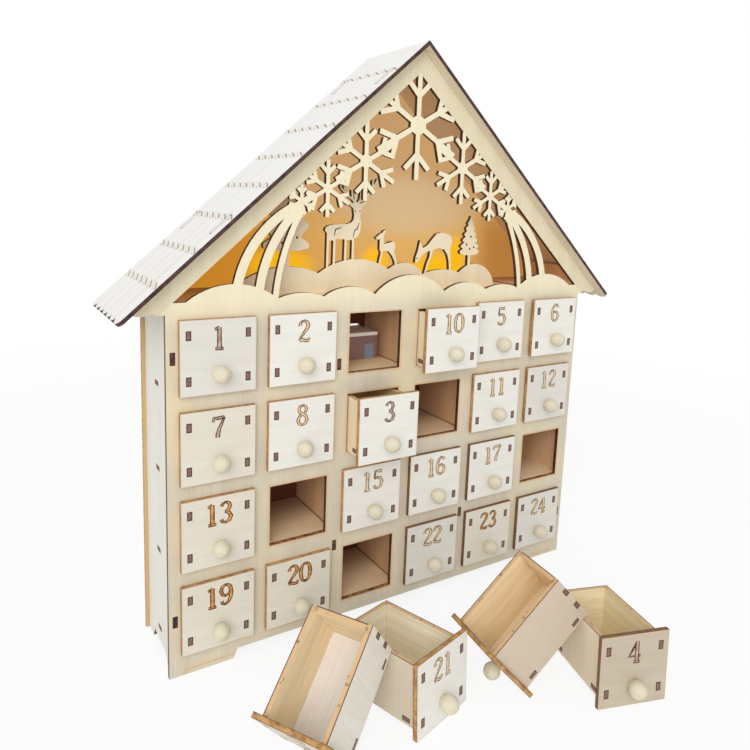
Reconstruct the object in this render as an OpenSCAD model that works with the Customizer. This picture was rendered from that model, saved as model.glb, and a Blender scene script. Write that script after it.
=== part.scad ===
// Advent calendar house of laser-cut plywood: six columns and four rows of small drawers
// under a lit gable. Sheets lock together with tabs in slots. Millimetres, +Z up.
// The origin lies on the floor, under the middle of the rear panel. The front faces -Y.

/* [Plywood] */
// Thickness of every sheet
ply = 2.5; // [2.2:0.1:3]
// Play left around a tab in its slot
tab_gap = 0.1; // [0.05:0.05:0.2]
// Length of the tabs on the walls and dividers
tab_len = 6.3; // [5:0.1:7]
// Length of the tabs that hold the shelves in the side walls
shelf_tab_len = 6.4; // [5:0.1:12]

// Thickness of the two roof sheets
roof_ply = 2; // [1.5:0.1:3]

/* [Cells] */
// Distance between the centres of two neighbouring drawers
pitch = 46; // [45:0.5:50]
// Width of the front panel left between two neighbouring openings
web = 12; // [11:0.5:15]
// Height of the lowest opening above the floor
base_h = 14.2; // [13.4:0.1:22]
// Height of the plain band between the top openings and the snow
band_h = 10.2; // [9:0.1:16]
// Width of the front panel outside the outer columns
side_margin = 2.3; // [2.2:0.1:6]
// How far the front and rear panels stand out past the side walls
panel_lip = 2; // [1.5:0.1:2.2]
// Depth between the front panel and the rear panel
carcass_d = 47.35; // [42:0.05:60]
// Height of the arch cut between the feet
arch_h = 5.4; // [3:0.2:8]
// Width of a foot of the front panel
foot_w = 34; // [20:1:60]
// Depth of a foot of a side wall
wall_foot_d = 9; // [6:0.5:14]

/* [Drawers] */
// How far a drawer's face covers the panel at each side of its opening
lap_x = 2.4; // [2:0.1:4]
// How far a drawer's face covers the panel above and below its opening
lap_z = 2; // [1.6:0.05:4]
// Play between a drawer's sides and its opening
side_play = 0.7; // [0.4:0.1:1]
// Play between the rim of a drawer's tray and the top of its opening
top_play = 1.3; // [0.8:0.1:4]
// Play between the end of a tray and the rear panel
end_play = 0.6; // [0.4:0.1:3]
// Gap between a drawer and what it slides on or closes against
slide_gap = 0.2; // [0.1:0.05:0.3]
// Height of a drawer's floor above the lower edge of its sides
floor_lift = 1.5; // [1:0.1:3]
// Length of the tabs that join a drawer's sheets
small_tab_len = 4.6; // [4:0.1:6]
// Diameter of the ball knob
knob_d = 9; // [8:0.1:12]
// Length of the neck between a face and its knob
knob_neck = 1; // [0.8:0.1:3]
// Diameter of the knob's peg, which sits in the face
peg_d = 4; // [3:0.1:5]
// How far drawer 10 is pulled out at rest
pull_ten = 10; // [0:0.5:20]
// How far drawer 3 is pulled out at rest
pull_three = 15.2; // [0:0.2:18]
// How far drawer 6 is pulled out at rest
pull_six = 1.6; // [0:0.2:6]

/* [Gable] */
// Slope of the roof, in degrees
roof_angle = 41.75; // [38:0.25:46]
// Width of the strip that is left along the roof
border_w = 10.1; // [8:0.1:12]
// Width of the front panel outside the lower corners of the gable opening
corner_w = 3.5; // [2.5:0.1:6]
// Height of the gable's ears, which reach past the walls, below the gable opening
ear_drop = 4.6; // [2:0.1:8]
// Depth of the lobes along the lower edge of an ear
ear_lobe_h = 1.2; // [0.6:0.1:2]
// Width of the largest snowflake's arms
frost_w = 2.9; // [2.2:0.1:3.2]
// Width of a rib of the side fans
rib_w = 4.8; // [3.6:0.1:6]
// Distance from the front of the front panel to the snow scene
scene_d = 14; // [10:0.5:18]

/* [Roof] */
// Overhang of the roof past the side edges of the front panel
eave_w = 23.2; // [16:0.2:30]
// Overhang of the roof in front of the front panel
roof_front = 7.2; // [4:0.2:14]
// Overhang of the roof behind the rear panel
roof_rear = 6.2; // [4:0.2:14]
// Number of shingles along the eave
shingles = 7; // [5:1:12]
// Depth of the scallops cut into the eave
scallop_h = 2.4; // [1:0.1:3]
// Length of the tabs that hold the roof
roof_tab_len = 13; // [8:0.5:18]

/* [Lighting] */
// Width of the battery box
battery_w = 34.5; // [30:0.5:37]
// Depth of the battery box
battery_d = 24; // [22:0.5:26]
// Height of the battery box
battery_h = 16.3; // [14:0.1:20]
// Wall of the battery box
battery_wall = 1.5; // [1.2:0.1:2]
// Diameter of a button cell
cell_d = 20; // [16:0.5:20]
// Thickness of a button cell
cell_h = 3.2; // [2:0.1:3.6]
// Length of the strip that carries the lamps
strip_len = 160; // [120:1:180]
// Width of the strip
strip_w = 8; // [6:0.5:10]
// Thickness of the strip
strip_h = 1.6; // [1:0.1:2]
// Diameter of a lamp
lamp_d = 5; // [3:0.5:6]
// Number of lamps
lamps = 9; // [5:1:12]

/* [Loose drawers] */
// Turn of loose drawer 21, in degrees
turn_21 = 15.5; // [0:0.5:30]
// Turn of loose drawer 4, in degrees
turn_04 = -17.7; // [-30:0.1:0]
// Lean of loose drawer 9, in degrees
lean_09 = 40; // [38:0.5:46]
// Lean of loose drawer 14, in degrees
lean_14 = 42; // [38:0.5:46]
// Gap between a leaning drawer and the rim that it leans on
lean_gap = 0.5; // [0.2:0.1:0.8]

/* [Hidden] */
$fn = 48;
cut = 1;
columns = 6;
rows = 4;
knob_seat_share = 0.716;

opening = pitch - web;
opening_r = opening / 2;
face_w = opening + 2 * lap_x;
face_h = opening + 2 * lap_z;
tray_w = opening - 2 * side_play;
tray_d = ply + carcass_d - slide_gap - end_play;
tray_lift = lap_z + 2 * slide_gap + tab_gap;
tray_h = opening - 2 * slide_gap - tab_gap - top_play;
rim_h = tray_lift + tray_h;
knob_z = face_h * (1 - knob_seat_share);
knob_r = knob_d / 2;

house_half = columns * pitch / 2 + side_margin;
wall_out = house_half - panel_lip;
wall_in = wall_out - ply;
snow_z = base_h + (rows - 1) * pitch + opening + band_h;
attic_z = snow_z - tab_gap;
open_half = house_half - corner_w;
open_h = open_half * tan(roof_angle);
border_v = border_w / cos(roof_angle);
ridge_in = snow_z + open_h + border_v;
ridge_h = ridge_in + roof_ply / cos(roof_angle);
shoulder_z = ridge_in - house_half * tan(roof_angle);
ear_z = snow_z - ear_drop;
ear_half = (ridge_in - ear_z) / tan(roof_angle);
wall_h = ridge_in - wall_out * tan(roof_angle) - tab_gap;
roof_half = house_half + eave_w;
roof_len = roof_half / cos(roof_angle);
mitre = roof_ply * tan(roof_angle);
rear_y = ply + carcass_d;
origin_y = rear_y + ply / 2;
roof_tab_shares = [0.131, 0.683];
wall_tab_rows = [0, 3];
divider_tab_rows = [1, 3];

// Rows are counted from the floor, columns from the left.
function cell_x(col) = (col - (columns - 1) / 2) * pitch;
function cell_z(row) = base_h + row * pitch;
function shelf_top(row) = cell_z(row) + slide_gap + tab_gap;
function divider_x(i) = (i - columns / 2) * pitch;

// Drawers in their cells: name, column, row from the floor, and how far each is pulled out.
in_cells = [
    ["01", 0, 3, 0], ["02", 1, 3, 0], ["10", 3, 3, pull_ten], ["05", 4, 3, 0], ["06", 5, 3, pull_six],
    ["07", 0, 2, 0], ["08", 1, 2, 0], ["03", 2, 2, pull_three], ["11", 4, 2, 0], ["12", 5, 2, 0],
    ["13", 0, 1, 0], ["15", 2, 1, 0], ["16", 3, 1, 0], ["17", 4, 1, 0],
    ["19", 0, 0, 0], ["20", 1, 0, 0], ["22", 3, 0, 0], ["23", 4, 0, 0], ["24", 5, 0, 0]
];
loose = ["21", "04", "09", "14"];
HOUSE = [
    "front_panel", "snow_scene_panel", "rear_panel", "left_wall", "right_wall", "shelves",
    "cell_dividers", "left_roof", "right_roof", "lamp_strip", "battery_box", "battery_cover",
    "button_cells", "power_switch"
];

birch = "BurlyWood";
pale_birch = "AntiqueWhite";

// A sheet that stands across the house, drawn in X and Z, with its front face at depth y.
module upright_sheet(y) {
    translate([0, y + ply, 0])
        rotate([90, 0, 0])
            linear_extrude(ply)
                children();
}

// A sheet that stands along the depth, drawn in Y and Z, centred on x.
module side_sheet(x) {
    translate([x - ply / 2, 0, 0])
        rotate([90, 0, 90])
            linear_extrude(ply)
                children();
}

module slot(x, z, w, h) {
    translate([x - w / 2 - tab_gap, z - h / 2 - tab_gap])
        square([w + 2 * tab_gap, h + 2 * tab_gap]);
}

module bar(x, z, w, h) {
    translate([x - w / 2, z - h / 2])
        square([w, h]);
}

// Heights of the tabs that join the walls and dividers to the two panels.
function wall_tab_z(i) = cell_z(i) + opening_r;
divider_tab_shares = [1.07, 0.168];
function divider_tab_z(i) = cell_z(i * (rows - 1)) + divider_tab_shares[i] * opening;

module house_outline(arched) {
    difference() {
        polygon([
            [-house_half, 0], [house_half, 0], [house_half, shoulder_z],
            [0, ridge_in], [-house_half, shoulder_z]
        ]);
        if (arched)
            polygon([
                [foot_w - house_half, -cut], [foot_w - house_half, 0],
                [foot_w - house_half + arch_h / 2, arch_h], [house_half - foot_w - arch_h / 2, arch_h],
                [house_half - foot_w, 0], [house_half - foot_w, -cut]
            ]);
    }
}

// Tabs on the sloped edges of a panel, which reach through the roof.
module roof_tabs() {
    for (side = [-1, 1], share = roof_tab_shares)
        translate([0, ridge_in])
            rotate(-side * roof_angle)
                translate([side * share * roof_len - roof_tab_len / 2, -ply])
                    square([roof_tab_len, ply + roof_ply]);
}

module panel_slots() {
    for (side = [-1, 1], i = wall_tab_rows)
        slot(side * (wall_in + ply / 2), wall_tab_z(i), ply, tab_len);
    for (side = [-1, 1], i = [0, 1])
        slot(side * pitch, divider_tab_z(i), ply, tab_len);
}

// Part of a circle that rises h above its chord, from x0 to x1.
module hill(x0, x1, h) {
    half = (x1 - x0) / 2;
    r = (half * half + h * h) / (2 * h);
    translate([x0 + half, 0])
        intersection() {
            translate([0, h - r])
                circle(r);
            translate([-half, 0])
                square([2 * half, h]);
        }
}

// Snow hills of the front panel: outer end and height, as shares of the opening's half width.
snow_hill_shares = [[0.178, 0.0745], [0.412, 0.034], [0.607, 0.018], [0.955, 0.06]];
module snow_hills() {
    for (i = [0 : len(snow_hill_shares) - 1]) {
        x0 = i == 0 ? -snow_hill_shares[0][0] : snow_hill_shares[i - 1][0];
        x1 = snow_hill_shares[i][0];
        for (side = i == 0 ? [0] : [0, 1])
            mirror([side, 0])
                translate([0, snow_z - tab_gap])
                    hill(x0 * open_half, x1 * open_half, snow_hill_shares[i][1] * open_half + tab_gap);
    }
}

// One snowflake of radius r: six arms, each with a pair of branches, round a small disc.
disc_share = 0.173;
fork_share = 0.53;
branch_share = 0.385;
module snowflake(r) {
    w = frost_w * (1 + r / flake_r(0)) / 2;
    circle(r * disc_share);
    for (arm = [0 : 5])
        rotate(arm * 60 + 90) {
            translate([0, -w / 2])
                square([r, w]);
            for (side = [-1, 1])
                translate([r * fork_share, 0])
                    rotate(side * 45)
                        translate([0, -w / 2])
                            square([r * branch_share, w]);
        }
}

// Snowflakes from the middle outwards: place across and up the opening, and radius, as shares.
flake_shares = [[0, 0.7707, 0.246], [0.2412, 0.593, 0.171], [0.4072, 0.4668, 0.122], [0.516, 0.41, 0.068]];
function flake_r(i) = flake_shares[i][2] * open_h;
function flake_x(i) = flake_shares[i][0] * open_half;
function flake_z(i) = snow_z + flake_shares[i][1] * open_h;
// Arms and branches of neighbouring snowflakes overlap, which joins them.
module snowflakes() {
    for (i = [0 : len(flake_shares) - 1], side = i == 0 ? [0] : [0, 1])
        mirror([side, 0])
            translate([flake_x(i), flake_z(i)])
                snowflake(flake_r(i));
}

// Circle through three points: its centre, then its radius.
function centre_of(a, b, c) =
    let (
        d = 2 * (a[0] * (b[1] - c[1]) + b[0] * (c[1] - a[1]) + c[0] * (a[1] - b[1])),
        x = ((a * a) * (b[1] - c[1]) + (b * b) * (c[1] - a[1]) + (c * c) * (a[1] - b[1])) / d,
        y = ((a * a) * (c[0] - b[0]) + (b * b) * (a[0] - c[0]) + (c * c) * (b[0] - a[0])) / d
    ) [x, y];

// A rib of even width w along the arc through three points.
module arc_rib(a, b, c, w) {
    o = centre_of(a, b, c);
    r = norm(a - o);
    reach = 2 * r;
    ends = [for (p = [a, c]) (p - o) / norm(p - o) * reach];
    intersection() {
        translate(o)
            difference() {
                circle(r + w / 2);
                circle(r - w / 2);
            }
        translate(o)
            polygon([[0, 0], ends[0], (ends[0] + ends[1]) * 0.75, ends[1]]);
    }
}

// Ribs of a side fan: foot, middle and top as shares of the opening, then share of the rib width.
rib_shares = [
    [[0.768, 0.04], [0.702, 0.229], [0.545, 0.385], 1],
    [[0.682, 0.02], [0.632, 0.219], [0.532, 0.372], 0.95],
    [[0.618, -0.02], [0.581, 0.2], [0.52, 0.36], 0.65]
];
knot_share = 0.028;
function in_gable(p) = [p[0] * open_half, snow_z + p[1] * open_h];
module rib_fans() {
    for (side = [0, 1])
        mirror([side, 0]) {
            for (rib = rib_shares)
                arc_rib(in_gable(rib[0]), in_gable(rib[1]), in_gable(rib[2]), rib_w * rib[3]);
            translate(in_gable([0.53, 0.374]))
                circle(knot_share * open_half);
        }
}

module gable_opening() {
    difference() {
        polygon([[-open_half, snow_z], [open_half, snow_z], [0, snow_z + open_h]]);
        snow_hills();
        rib_fans();
        snowflakes();
    }
}

// The gable reaches past the walls in two ears, with two lobes along the lower edge of each.
ear_lobe_share = 0.33;
module gable_ears() {
    ear_w = ear_half - house_half;
    ends = [house_half - ply, house_half + ear_lobe_share * ear_w, ear_half - 2 * tab_gap];
    for (side = [0, 1])
        mirror([side, 0]) {
            polygon([
                [house_half - ply, ear_z], [ear_half, ear_z], [house_half, shoulder_z],
                [house_half - ply, shoulder_z]
            ]);
            for (i = [0, 1])
                translate([0, ear_z + tab_gap])
                    mirror([0, 1])
                        hill(ends[i], ends[i + 1], ear_lobe_h + tab_gap);
        }
}

module front_panel() {
    color(birch)
        upright_sheet(0)
            difference() {
                union() {
                    house_outline(true);
                    roof_tabs();
                    gable_ears();
                }
                for (col = [0 : columns - 1], row = [0 : rows - 1])
                    translate([cell_x(col) - opening_r, cell_z(row)])
                        square(opening);
                panel_slots();
                gable_opening();
            }
}

// A line of even width through a list of points.
module stroke(path, w) {
    for (i = [0 : len(path) - 2]) {
        run = path[i + 1] - path[i];
        translate(path[i])
            rotate(atan2(run[1], run[0]))
                translate([-w / 4, -w / 2])
                    square([norm(run) + w / 2, w]);
    }
}

// The figures stand on the hills. Their points are shares of the gable opening's half width,
// across from the middle and up from the attic floor.
module figure(shares) {
    translate([0, attic_z])
        polygon(shares * open_half);
}

// Standing stag that looks out of the picture, and the tines of its antlers.
stag_shares = [
    [-0.3443, 0.0892], [-0.3436, 0.212], [-0.3238, 0.212], [-0.3246, 0.1038], [-0.3143, 0.1038],
    [-0.3136, 0.2186], [-0.2719, 0.2171], [-0.2727, 0.1184], [-0.2617, 0.1184], [-0.2624, 0.2142],
    [-0.2368, 0.2142], [-0.2368, 0.1184], [-0.2266, 0.1184], [-0.2273, 0.2186], [-0.2113, 0.2273],
    [-0.201, 0.2449], [-0.1966, 0.2683], [-0.1974, 0.2917], [-0.2032, 0.3121], [-0.1966, 0.3304],
    [-0.1952, 0.3472], [-0.1732, 0.3655], [-0.1784, 0.3735], [-0.2032, 0.364], [-0.212, 0.3692],
    [-0.2237, 0.3692], [-0.2325, 0.364], [-0.2529, 0.3684], [-0.2573, 0.3596], [-0.2354, 0.3443],
    [-0.2303, 0.3158], [-0.2332, 0.2968], [-0.2442, 0.2851], [-0.2632, 0.28], [-0.3216, 0.2778],
    [-0.345, 0.2727], [-0.3604, 0.2639], [-0.3633, 0.2529], [-0.3538, 0.2412], [-0.3545, 0.0892]
];
antler_shares = [
    [[-0.2266, 0.3633], [-0.2383, 0.3801], [-0.2654, 0.3955], [-0.2939, 0.4232], [-0.3026, 0.4554]],
    [[-0.239, 0.3794], [-0.2434, 0.4174]],
    [[-0.2259, 0.3648], [-0.2295, 0.4101]],
    [[-0.2749, 0.4042], [-0.2807, 0.4408]],
    [
        [-0.2149, 0.3633], [-0.2039, 0.3787], [-0.1769, 0.3925], [-0.1477, 0.4218],
        [-0.1374, 0.4401], [-0.1221, 0.4656]
    ],
    [[-0.2032, 0.3779], [-0.1996, 0.413]],
    [[-0.1477, 0.4218], [-0.144, 0.4605]]
];
antler_share = 0.0078;
module stag() {
    figure(stag_shares);
    translate([0, attic_z])
        for (tine = antler_shares)
            stroke(tine * open_half, antler_share * open_half);
}

// Fawn at play, facing left.
fawn_shares = [
    [-0.114, 0.2156], [-0.1016, 0.2186], [-0.1016, 0.1754], [-0.0943, 0.1608], [-0.1001, 0.1367],
    [-0.1053, 0.1089], [-0.095, 0.1089], [-0.0943, 0.1265], [-0.087, 0.1477], [-0.0848, 0.1681],
    [-0.0694, 0.1681], [-0.0556, 0.1659], [-0.0365, 0.1469], [-0.0234, 0.1235], [-0.0197, 0.1038],
    [-0.0088, 0.1038], [-0.011, 0.1257], [-0.0227, 0.1513], [-0.027, 0.1674], [-0.0219, 0.1864],
    [-0.0249, 0.2025], [-0.038, 0.2098], [-0.0658, 0.2039], [-0.0811, 0.2054], [-0.0819, 0.2317],
    [-0.076, 0.2449], [-0.0694, 0.2595], [-0.0833, 0.2544], [-0.0892, 0.2456], [-0.1009, 0.2412],
    [-0.1228, 0.223]
];

// Grazing doe, facing left.
doe_shares = [
    [0.1038, 0.1923], [0.098, 0.1674], [0.0877, 0.1411], [0.0848, 0.114], [0.0994, 0.117],
    [0.1213, 0.1484], [0.1418, 0.1608], [0.1645, 0.1674], [0.1615, 0.1411], [0.1469, 0.106],
    [0.1352, 0.0599], [0.1455, 0.0599], [0.1564, 0.1045], [0.1725, 0.1382], [0.182, 0.1732],
    [0.212, 0.1791], [0.2434, 0.1725], [0.2624, 0.1477], [0.2712, 0.1206], [0.277, 0.0673],
    [0.2873, 0.0673], [0.2807, 0.133], [0.2763, 0.1732], [0.2851, 0.2069], [0.2822, 0.2295],
    [0.2602, 0.242], [0.223, 0.2485], [0.1966, 0.2434], [0.1747, 0.2208], [0.1491, 0.1923],
    [0.125, 0.1798], [0.1162, 0.1923], [0.1089, 0.2142]
];

// Firs: right half of the outline as shares of the crown's half width and height, from the
// foot of the crown to its top, then the holes.
small_fir_shares = [
    [0.43, 0], [0.86, 0.03], [0.96, 0.1], [0.65, 0.17], [0.86, 0.2], [0.88, 0.25], [0.54, 0.32],
    [0.73, 0.36], [0.7, 0.41], [0.44, 0.47], [0.59, 0.52], [0.55, 0.56], [0.33, 0.61],
    [0.45, 0.67], [0.41, 0.71], [0.21, 0.76], [0.31, 0.81], [0.13, 0.89], [0, 1]
];
small_hole_shares = [[0.08, 0.47], [-0.3, 0.27], [0.02, 0.16], [0.42, 0.2]];
big_fir_shares = [
    [0.5, 0], [0.97, 0.04], [1, 0.11], [0.62, 0.2], [0.72, 0.27], [0.95, 0.35], [0.94, 0.41],
    [0.55, 0.5], [0.8, 0.55], [0.78, 0.6], [0.42, 0.68], [0.6, 0.74], [0.24, 0.83], [0.34, 0.88],
    [0, 1]
];
big_hole_shares = [[0.45, 0.2], [-0.2, 0.12], [0.1, 0.42]];
trunk_share = 0.12;
module fir(place, foot, w, h, shares, holes, hole_d) {
    outline = concat(shares, [for (i = [len(shares) - 2 : -1 : 0]) [-shares[i][0], shares[i][1]]]);
    translate([place[0] * open_half, attic_z + place[1] * open_half]) {
        translate([-trunk_share * w / 2, -foot])
            square([trunk_share * w, foot + h * trunk_share]);
        difference() {
            polygon([for (p = outline) [p[0] * w / 2, p[1] * h]]);
            for (p = holes)
                translate([p[0] * w / 2, p[1] * h])
                    circle(d = hole_d, $fn = 24);
        }
    }
}

// Hills of the snow scene: three points on each, as shares like those of the figures.
scene_hill_shares = [
    [[-0.7018, 0.0614], [-0.5556, 0.1082], [-0.3911, 0.0804]],
    [[-0.3911, 0.0782], [-0.2339, 0.1345], [-0.0585, 0.0921]],
    [[-0.0548, 0.0892], [0.0073, 0.1148], [0.117, 0.0768]],
    [[0.1425, 0.0687], [0.2266, 0.0826], [0.3289, 0.068]],
    [[0.3326, 0.0673], [0.4167, 0.1045], [0.5446, 0.0197]]
];
module scene_hill(shares) {
    points = shares * open_half;
    o = centre_of(points[0], points[1], points[2]);
    translate([o[0], attic_z + o[1]])
        circle(norm(points[1] - o));
}

small_fir_place_shares = [0.3889, 0.1462];
big_fir_place_shares = [-0.5300, 0.1703];
small_fir_size_shares = [0.1184, 0.1798];
big_fir_size_shares = [0.1974, 0.2661];
trunk_foot_share = 0.0658;
fir_hole_share = 0.0095;
module scene_figures() {
    for (s = scene_hill_shares)
        scene_hill(s);
    stag();
    figure(fawn_shares);
    figure(doe_shares);
    fir(
        small_fir_place_shares, trunk_foot_share * open_half, small_fir_size_shares[0] * open_half,
        small_fir_size_shares[1] * open_half, small_fir_shares, small_hole_shares, fir_hole_share * open_half
    );
    fir(
        big_fir_place_shares, 2 * trunk_foot_share * open_half, big_fir_size_shares[0] * open_half,
        big_fir_size_shares[1] * open_half, big_fir_shares, big_hole_shares, fir_hole_share * open_half
    );
}

// The hills end on the attic floor, but for the tabs that sit in its slots.
scene_tab_x = [-0.6 * open_half, 0, 0.4 * open_half];
module snow_scene() {
    difference() {
        scene_figures();
        difference() {
            translate([-house_half, 0])
                square([2 * house_half, attic_z]);
            for (x = scene_tab_x)
                translate([x - tab_len / 2, attic_z - ply + tab_gap])
                    square([tab_len, ply]);
        }
    }
}

module snow_scene_panel() {
    color(pale_birch)
        upright_sheet(scene_d)
            snow_scene();
}

battery_x = cell_x(2);
battery_y = rear_y - battery_d;
battery_z = shelf_top(rows - 1);
hatch_gap = 1;
cover_h = 2;

module rear_panel() {
    color(birch)
        upright_sheet(rear_y)
            difference() {
                union() {
                    house_outline(false);
                    roof_tabs();
                }
                panel_slots();
                translate([battery_x - battery_w / 2 - hatch_gap, battery_z])
                    square([battery_w + 2 * hatch_gap, battery_h + hatch_gap]);
            }
}

module side_wall(side) {
    foot_y0 = ply + wall_foot_d;
    foot_y1 = rear_y - wall_foot_d;
    color(birch)
        side_sheet(side * (wall_in + ply / 2))
            difference() {
                union() {
                    translate([ply, 0])
                        square([carcass_d, wall_h]);
                    for (i = wall_tab_rows)
                        translate([0, wall_tab_z(i) - tab_len / 2])
                            square([rear_y + ply, tab_len]);
                }
                polygon([
                    [foot_y0, -cut], [foot_y0, 0], [foot_y0 + arch_h / 2, arch_h],
                    [foot_y1 - arch_h / 2, arch_h], [foot_y1, 0], [foot_y1, -cut]
                ]);
                for (row = [0 : rows - 1])
                    slot(ply + carcass_d / 2, shelf_top(row) - ply / 2, shelf_tab_len, ply);
                slot(ply + carcass_d / 2, attic_z - ply / 2, shelf_tab_len, ply);
            }
}

module left_wall() {
    side_wall(-1);
}

module right_wall() {
    side_wall(1);
}

// A shelf, drawn in X and Y, notched from the front for the dividers.
module shelf(top, notched) {
    translate([0, 0, top - ply])
        linear_extrude(ply)
            difference() {
                union() {
                    translate([tab_gap - wall_in, ply])
                        square([2 * (wall_in - tab_gap), carcass_d]);
                    translate([-wall_out, ply + (carcass_d - shelf_tab_len) / 2])
                        square([2 * wall_out, shelf_tab_len]);
                }
                if (notched)
                    for (i = [1 : columns - 1])
                        translate([divider_x(i) - ply / 2 - tab_gap, ply - cut])
                            square([ply + 2 * tab_gap, carcass_d / 2 + cut]);
                if (!notched)
                    for (x = scene_tab_x)
                        slot(x, scene_d + ply / 2, tab_len, ply);
            }
}

module shelves() {
    color(birch) {
        for (row = [0 : rows - 1])
            shelf(shelf_top(row), true);
        shelf(attic_z, false);
    }
}

// A divider, drawn in Y and Z, notched from the rear for the shelves.
module cell_dividers() {
    color(birch)
        for (i = [1 : columns - 1])
            side_sheet(divider_x(i))
                difference() {
                    union() {
                        translate([ply, arch_h])
                            square([carcass_d, attic_z - ply - tab_gap - arch_h]);
                        if (i == 2 || i == 4)
                            for (k = [0, 1])
                                translate([0, divider_tab_z(k) - tab_len / 2])
                                    square([rear_y + ply, tab_len]);
                    }
                    for (row = [0 : rows - 1])
                        translate([ply + carcass_d / 2, shelf_top(row) - ply - tab_gap])
                            square([carcass_d / 2 + cut, ply + 2 * tab_gap]);
                }
}

// A roof sheet, drawn down the slope from the ridge, with a scalloped eave.
module roof_outline() {
    depth = roof_front + rear_y + ply + roof_rear;
    lobe = depth / shingles;
    lobe_r = (lobe * lobe / 4 + scallop_h * scallop_h) / (2 * scallop_h);
    difference() {
        union() {
            translate([0, -roof_front])
                square([roof_len - scallop_h, depth]);
            intersection() {
                translate([roof_len - scallop_h, -roof_front])
                    square([scallop_h, depth]);
                for (i = [0 : shingles - 1])
                    translate([roof_len - lobe_r, (i + 0.5) * lobe - roof_front])
                        circle(lobe_r);
            }
        }
        for (share = roof_tab_shares, y = [0, rear_y])
            slot(mitre + share * roof_len, y + ply / 2, roof_tab_len, ply);
    }
}

module roof_sheet() {
    span = 2 * roof_half;
    color(pale_birch)
        difference() {
            translate([0, 0, ridge_h])
                rotate([0, roof_angle, 0])
                    translate([0, 0, -roof_ply])
                        linear_extrude(roof_ply)
                            roof_outline();
            translate([-span, -span / 2, 0])
                cube([span, span, 2 * ridge_h]);
        }
}

module right_roof() {
    roof_sheet();
}

module left_roof() {
    mirror([1, 0, 0])
        roof_sheet();
}

strip_y = 26;
module lamp_strip() {
    color("Gold")
        translate([0, strip_y, attic_z]) {
            translate([-strip_len / 2, -strip_w / 2, 0])
                cube([strip_len, strip_w, strip_h]);
            for (i = [0 : lamps - 1])
                translate([(i - (lamps - 1) / 2) * strip_len / lamps, 0, strip_h]) {
                    cylinder(d = lamp_d, h = lamp_d / 4);
                    translate([0, 0, lamp_d / 4])
                        intersection() {
                            sphere(d = lamp_d);
                            cylinder(d = 2 * lamp_d, h = lamp_d);
                        }
                }
        }
}

rail_h = 1;
rail_x = [battery_wall + slide_gap, battery_w - 2 * battery_wall - slide_gap];
switch_x_share = 0.55;
switch_z_share = 0.35;
// Open-topped box for the cells. Its rear wall is notched for the rails of the cover.
module battery_box() {
    body_h = battery_h - cover_h - tab_gap;
    inside_w = battery_w - 2 * battery_wall;
    inside_d = battery_d - tab_gap - 2 * battery_wall;
    switch_slot = switch_w + switch_travel + 2 * slide_gap;
    rear_wall_y = battery_d - battery_wall - cut;
    through = battery_wall + 2 * cut;
    color("DimGray")
        translate([battery_x - battery_w / 2, battery_y, battery_z])
            difference() {
                cube([battery_w, battery_d - tab_gap, body_h]);
                translate([battery_wall, battery_wall, battery_wall])
                    cube([inside_w, inside_d, body_h]);
                translate([switch_x_share * battery_w, rear_wall_y, switch_z_share * body_h])
                    cube([switch_slot, through, switch_h + 2 * slide_gap]);
                for (x = rail_x)
                    translate([x - slide_gap, rear_wall_y, body_h - rail_h])
                        cube([battery_wall + 2 * slide_gap, through, rail_h + cut]);
            }
}

// The cover lies on the box, has a rail inside each side wall, and slides out to the rear.
module battery_cover() {
    color("White")
        translate([battery_x - battery_w / 2, battery_y, battery_z + battery_h - cover_h])
            union() {
                cube([battery_w, battery_d - tab_gap, cover_h]);
                for (x = rail_x)
                    translate([x, rail_x[0], -rail_h])
                        cube([battery_wall, battery_d - tab_gap - rail_x[0], rail_h + tab_gap]);
            }
}

module button_cells() {
    color("Silver")
        translate([battery_x, battery_y + (battery_d - tab_gap) / 2, battery_z + battery_wall])
            for (i = [0, 1])
                translate([0, 0, i * cell_h])
                    cylinder(d = cell_d, h = cell_h);
}

switch_w = 4;
switch_h = 3;
switch_travel = 3.4;
switch_out = 0.8;
module power_switch() {
    body_h = battery_h - cover_h - tab_gap;
    color("Black")
        translate([
            battery_x + (switch_x_share - 0.5) * battery_w + slide_gap,
            rear_y - tab_gap - battery_wall,
            battery_z + switch_z_share * body_h + slide_gap
        ])
            cube([switch_w, battery_wall + switch_out, switch_h]);
}

// A drawer in its own frame: x across, y to the rear from the front of its face, z up from
// the face's lower edge.
face_tab_shares = [0.203, 0.8];
module drawer_face() {
    color(pale_birch)
        upright_sheet(0)
            difference() {
                translate([-face_w / 2, 0])
                    square([face_w, face_h]);
                for (side = [-1, 1], share = face_tab_shares)
                    slot(side * (tray_w - ply) / 2, face_h * (1 - share), ply, small_tab_len);
                translate([0, knob_z])
                    circle(d = peg_d + 2 * tab_gap);
            }
    color("Moccasin")
        translate([0, ply, knob_z])
            rotate([90, 0, 0])
                rotate_extrude()
                    knob_profile();
}

// Half section of the knob: a peg, a short neck and a ball with a flat seat.
neck_share = 0.32;
module knob_profile() {
    neck_r = knob_d * neck_share;
    ball_z = ply + knob_neck + knob_r - neck_sink();
    union() {
        square([peg_d / 2, ply + knob_neck + knob_r]);
        translate([0, ply + tab_gap])
            square([neck_r, knob_neck + knob_r / 2]);
        intersection() {
            translate([0, ball_z])
                circle(knob_r);
            translate([0, ply + knob_neck])
                square([knob_d, 2 * knob_d]);
        }
    }
}
function neck_sink() = knob_r - sqrt(knob_r * knob_r - pow(knob_d * neck_share, 2));
function knob_y() = knob_neck + knob_r - neck_sink();

module drawer_tray() {
    color(birch)
        translate([0, ply, 0]) {
            for (side = [-1, 1])
                side_sheet(side * (tray_w - ply) / 2)
                    tray_side();
            upright_sheet(tray_d - ply)
                tray_back();
            translate([0, 0, tray_lift + floor_lift])
                linear_extrude(ply)
                    tray_floor();
        }
}

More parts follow.
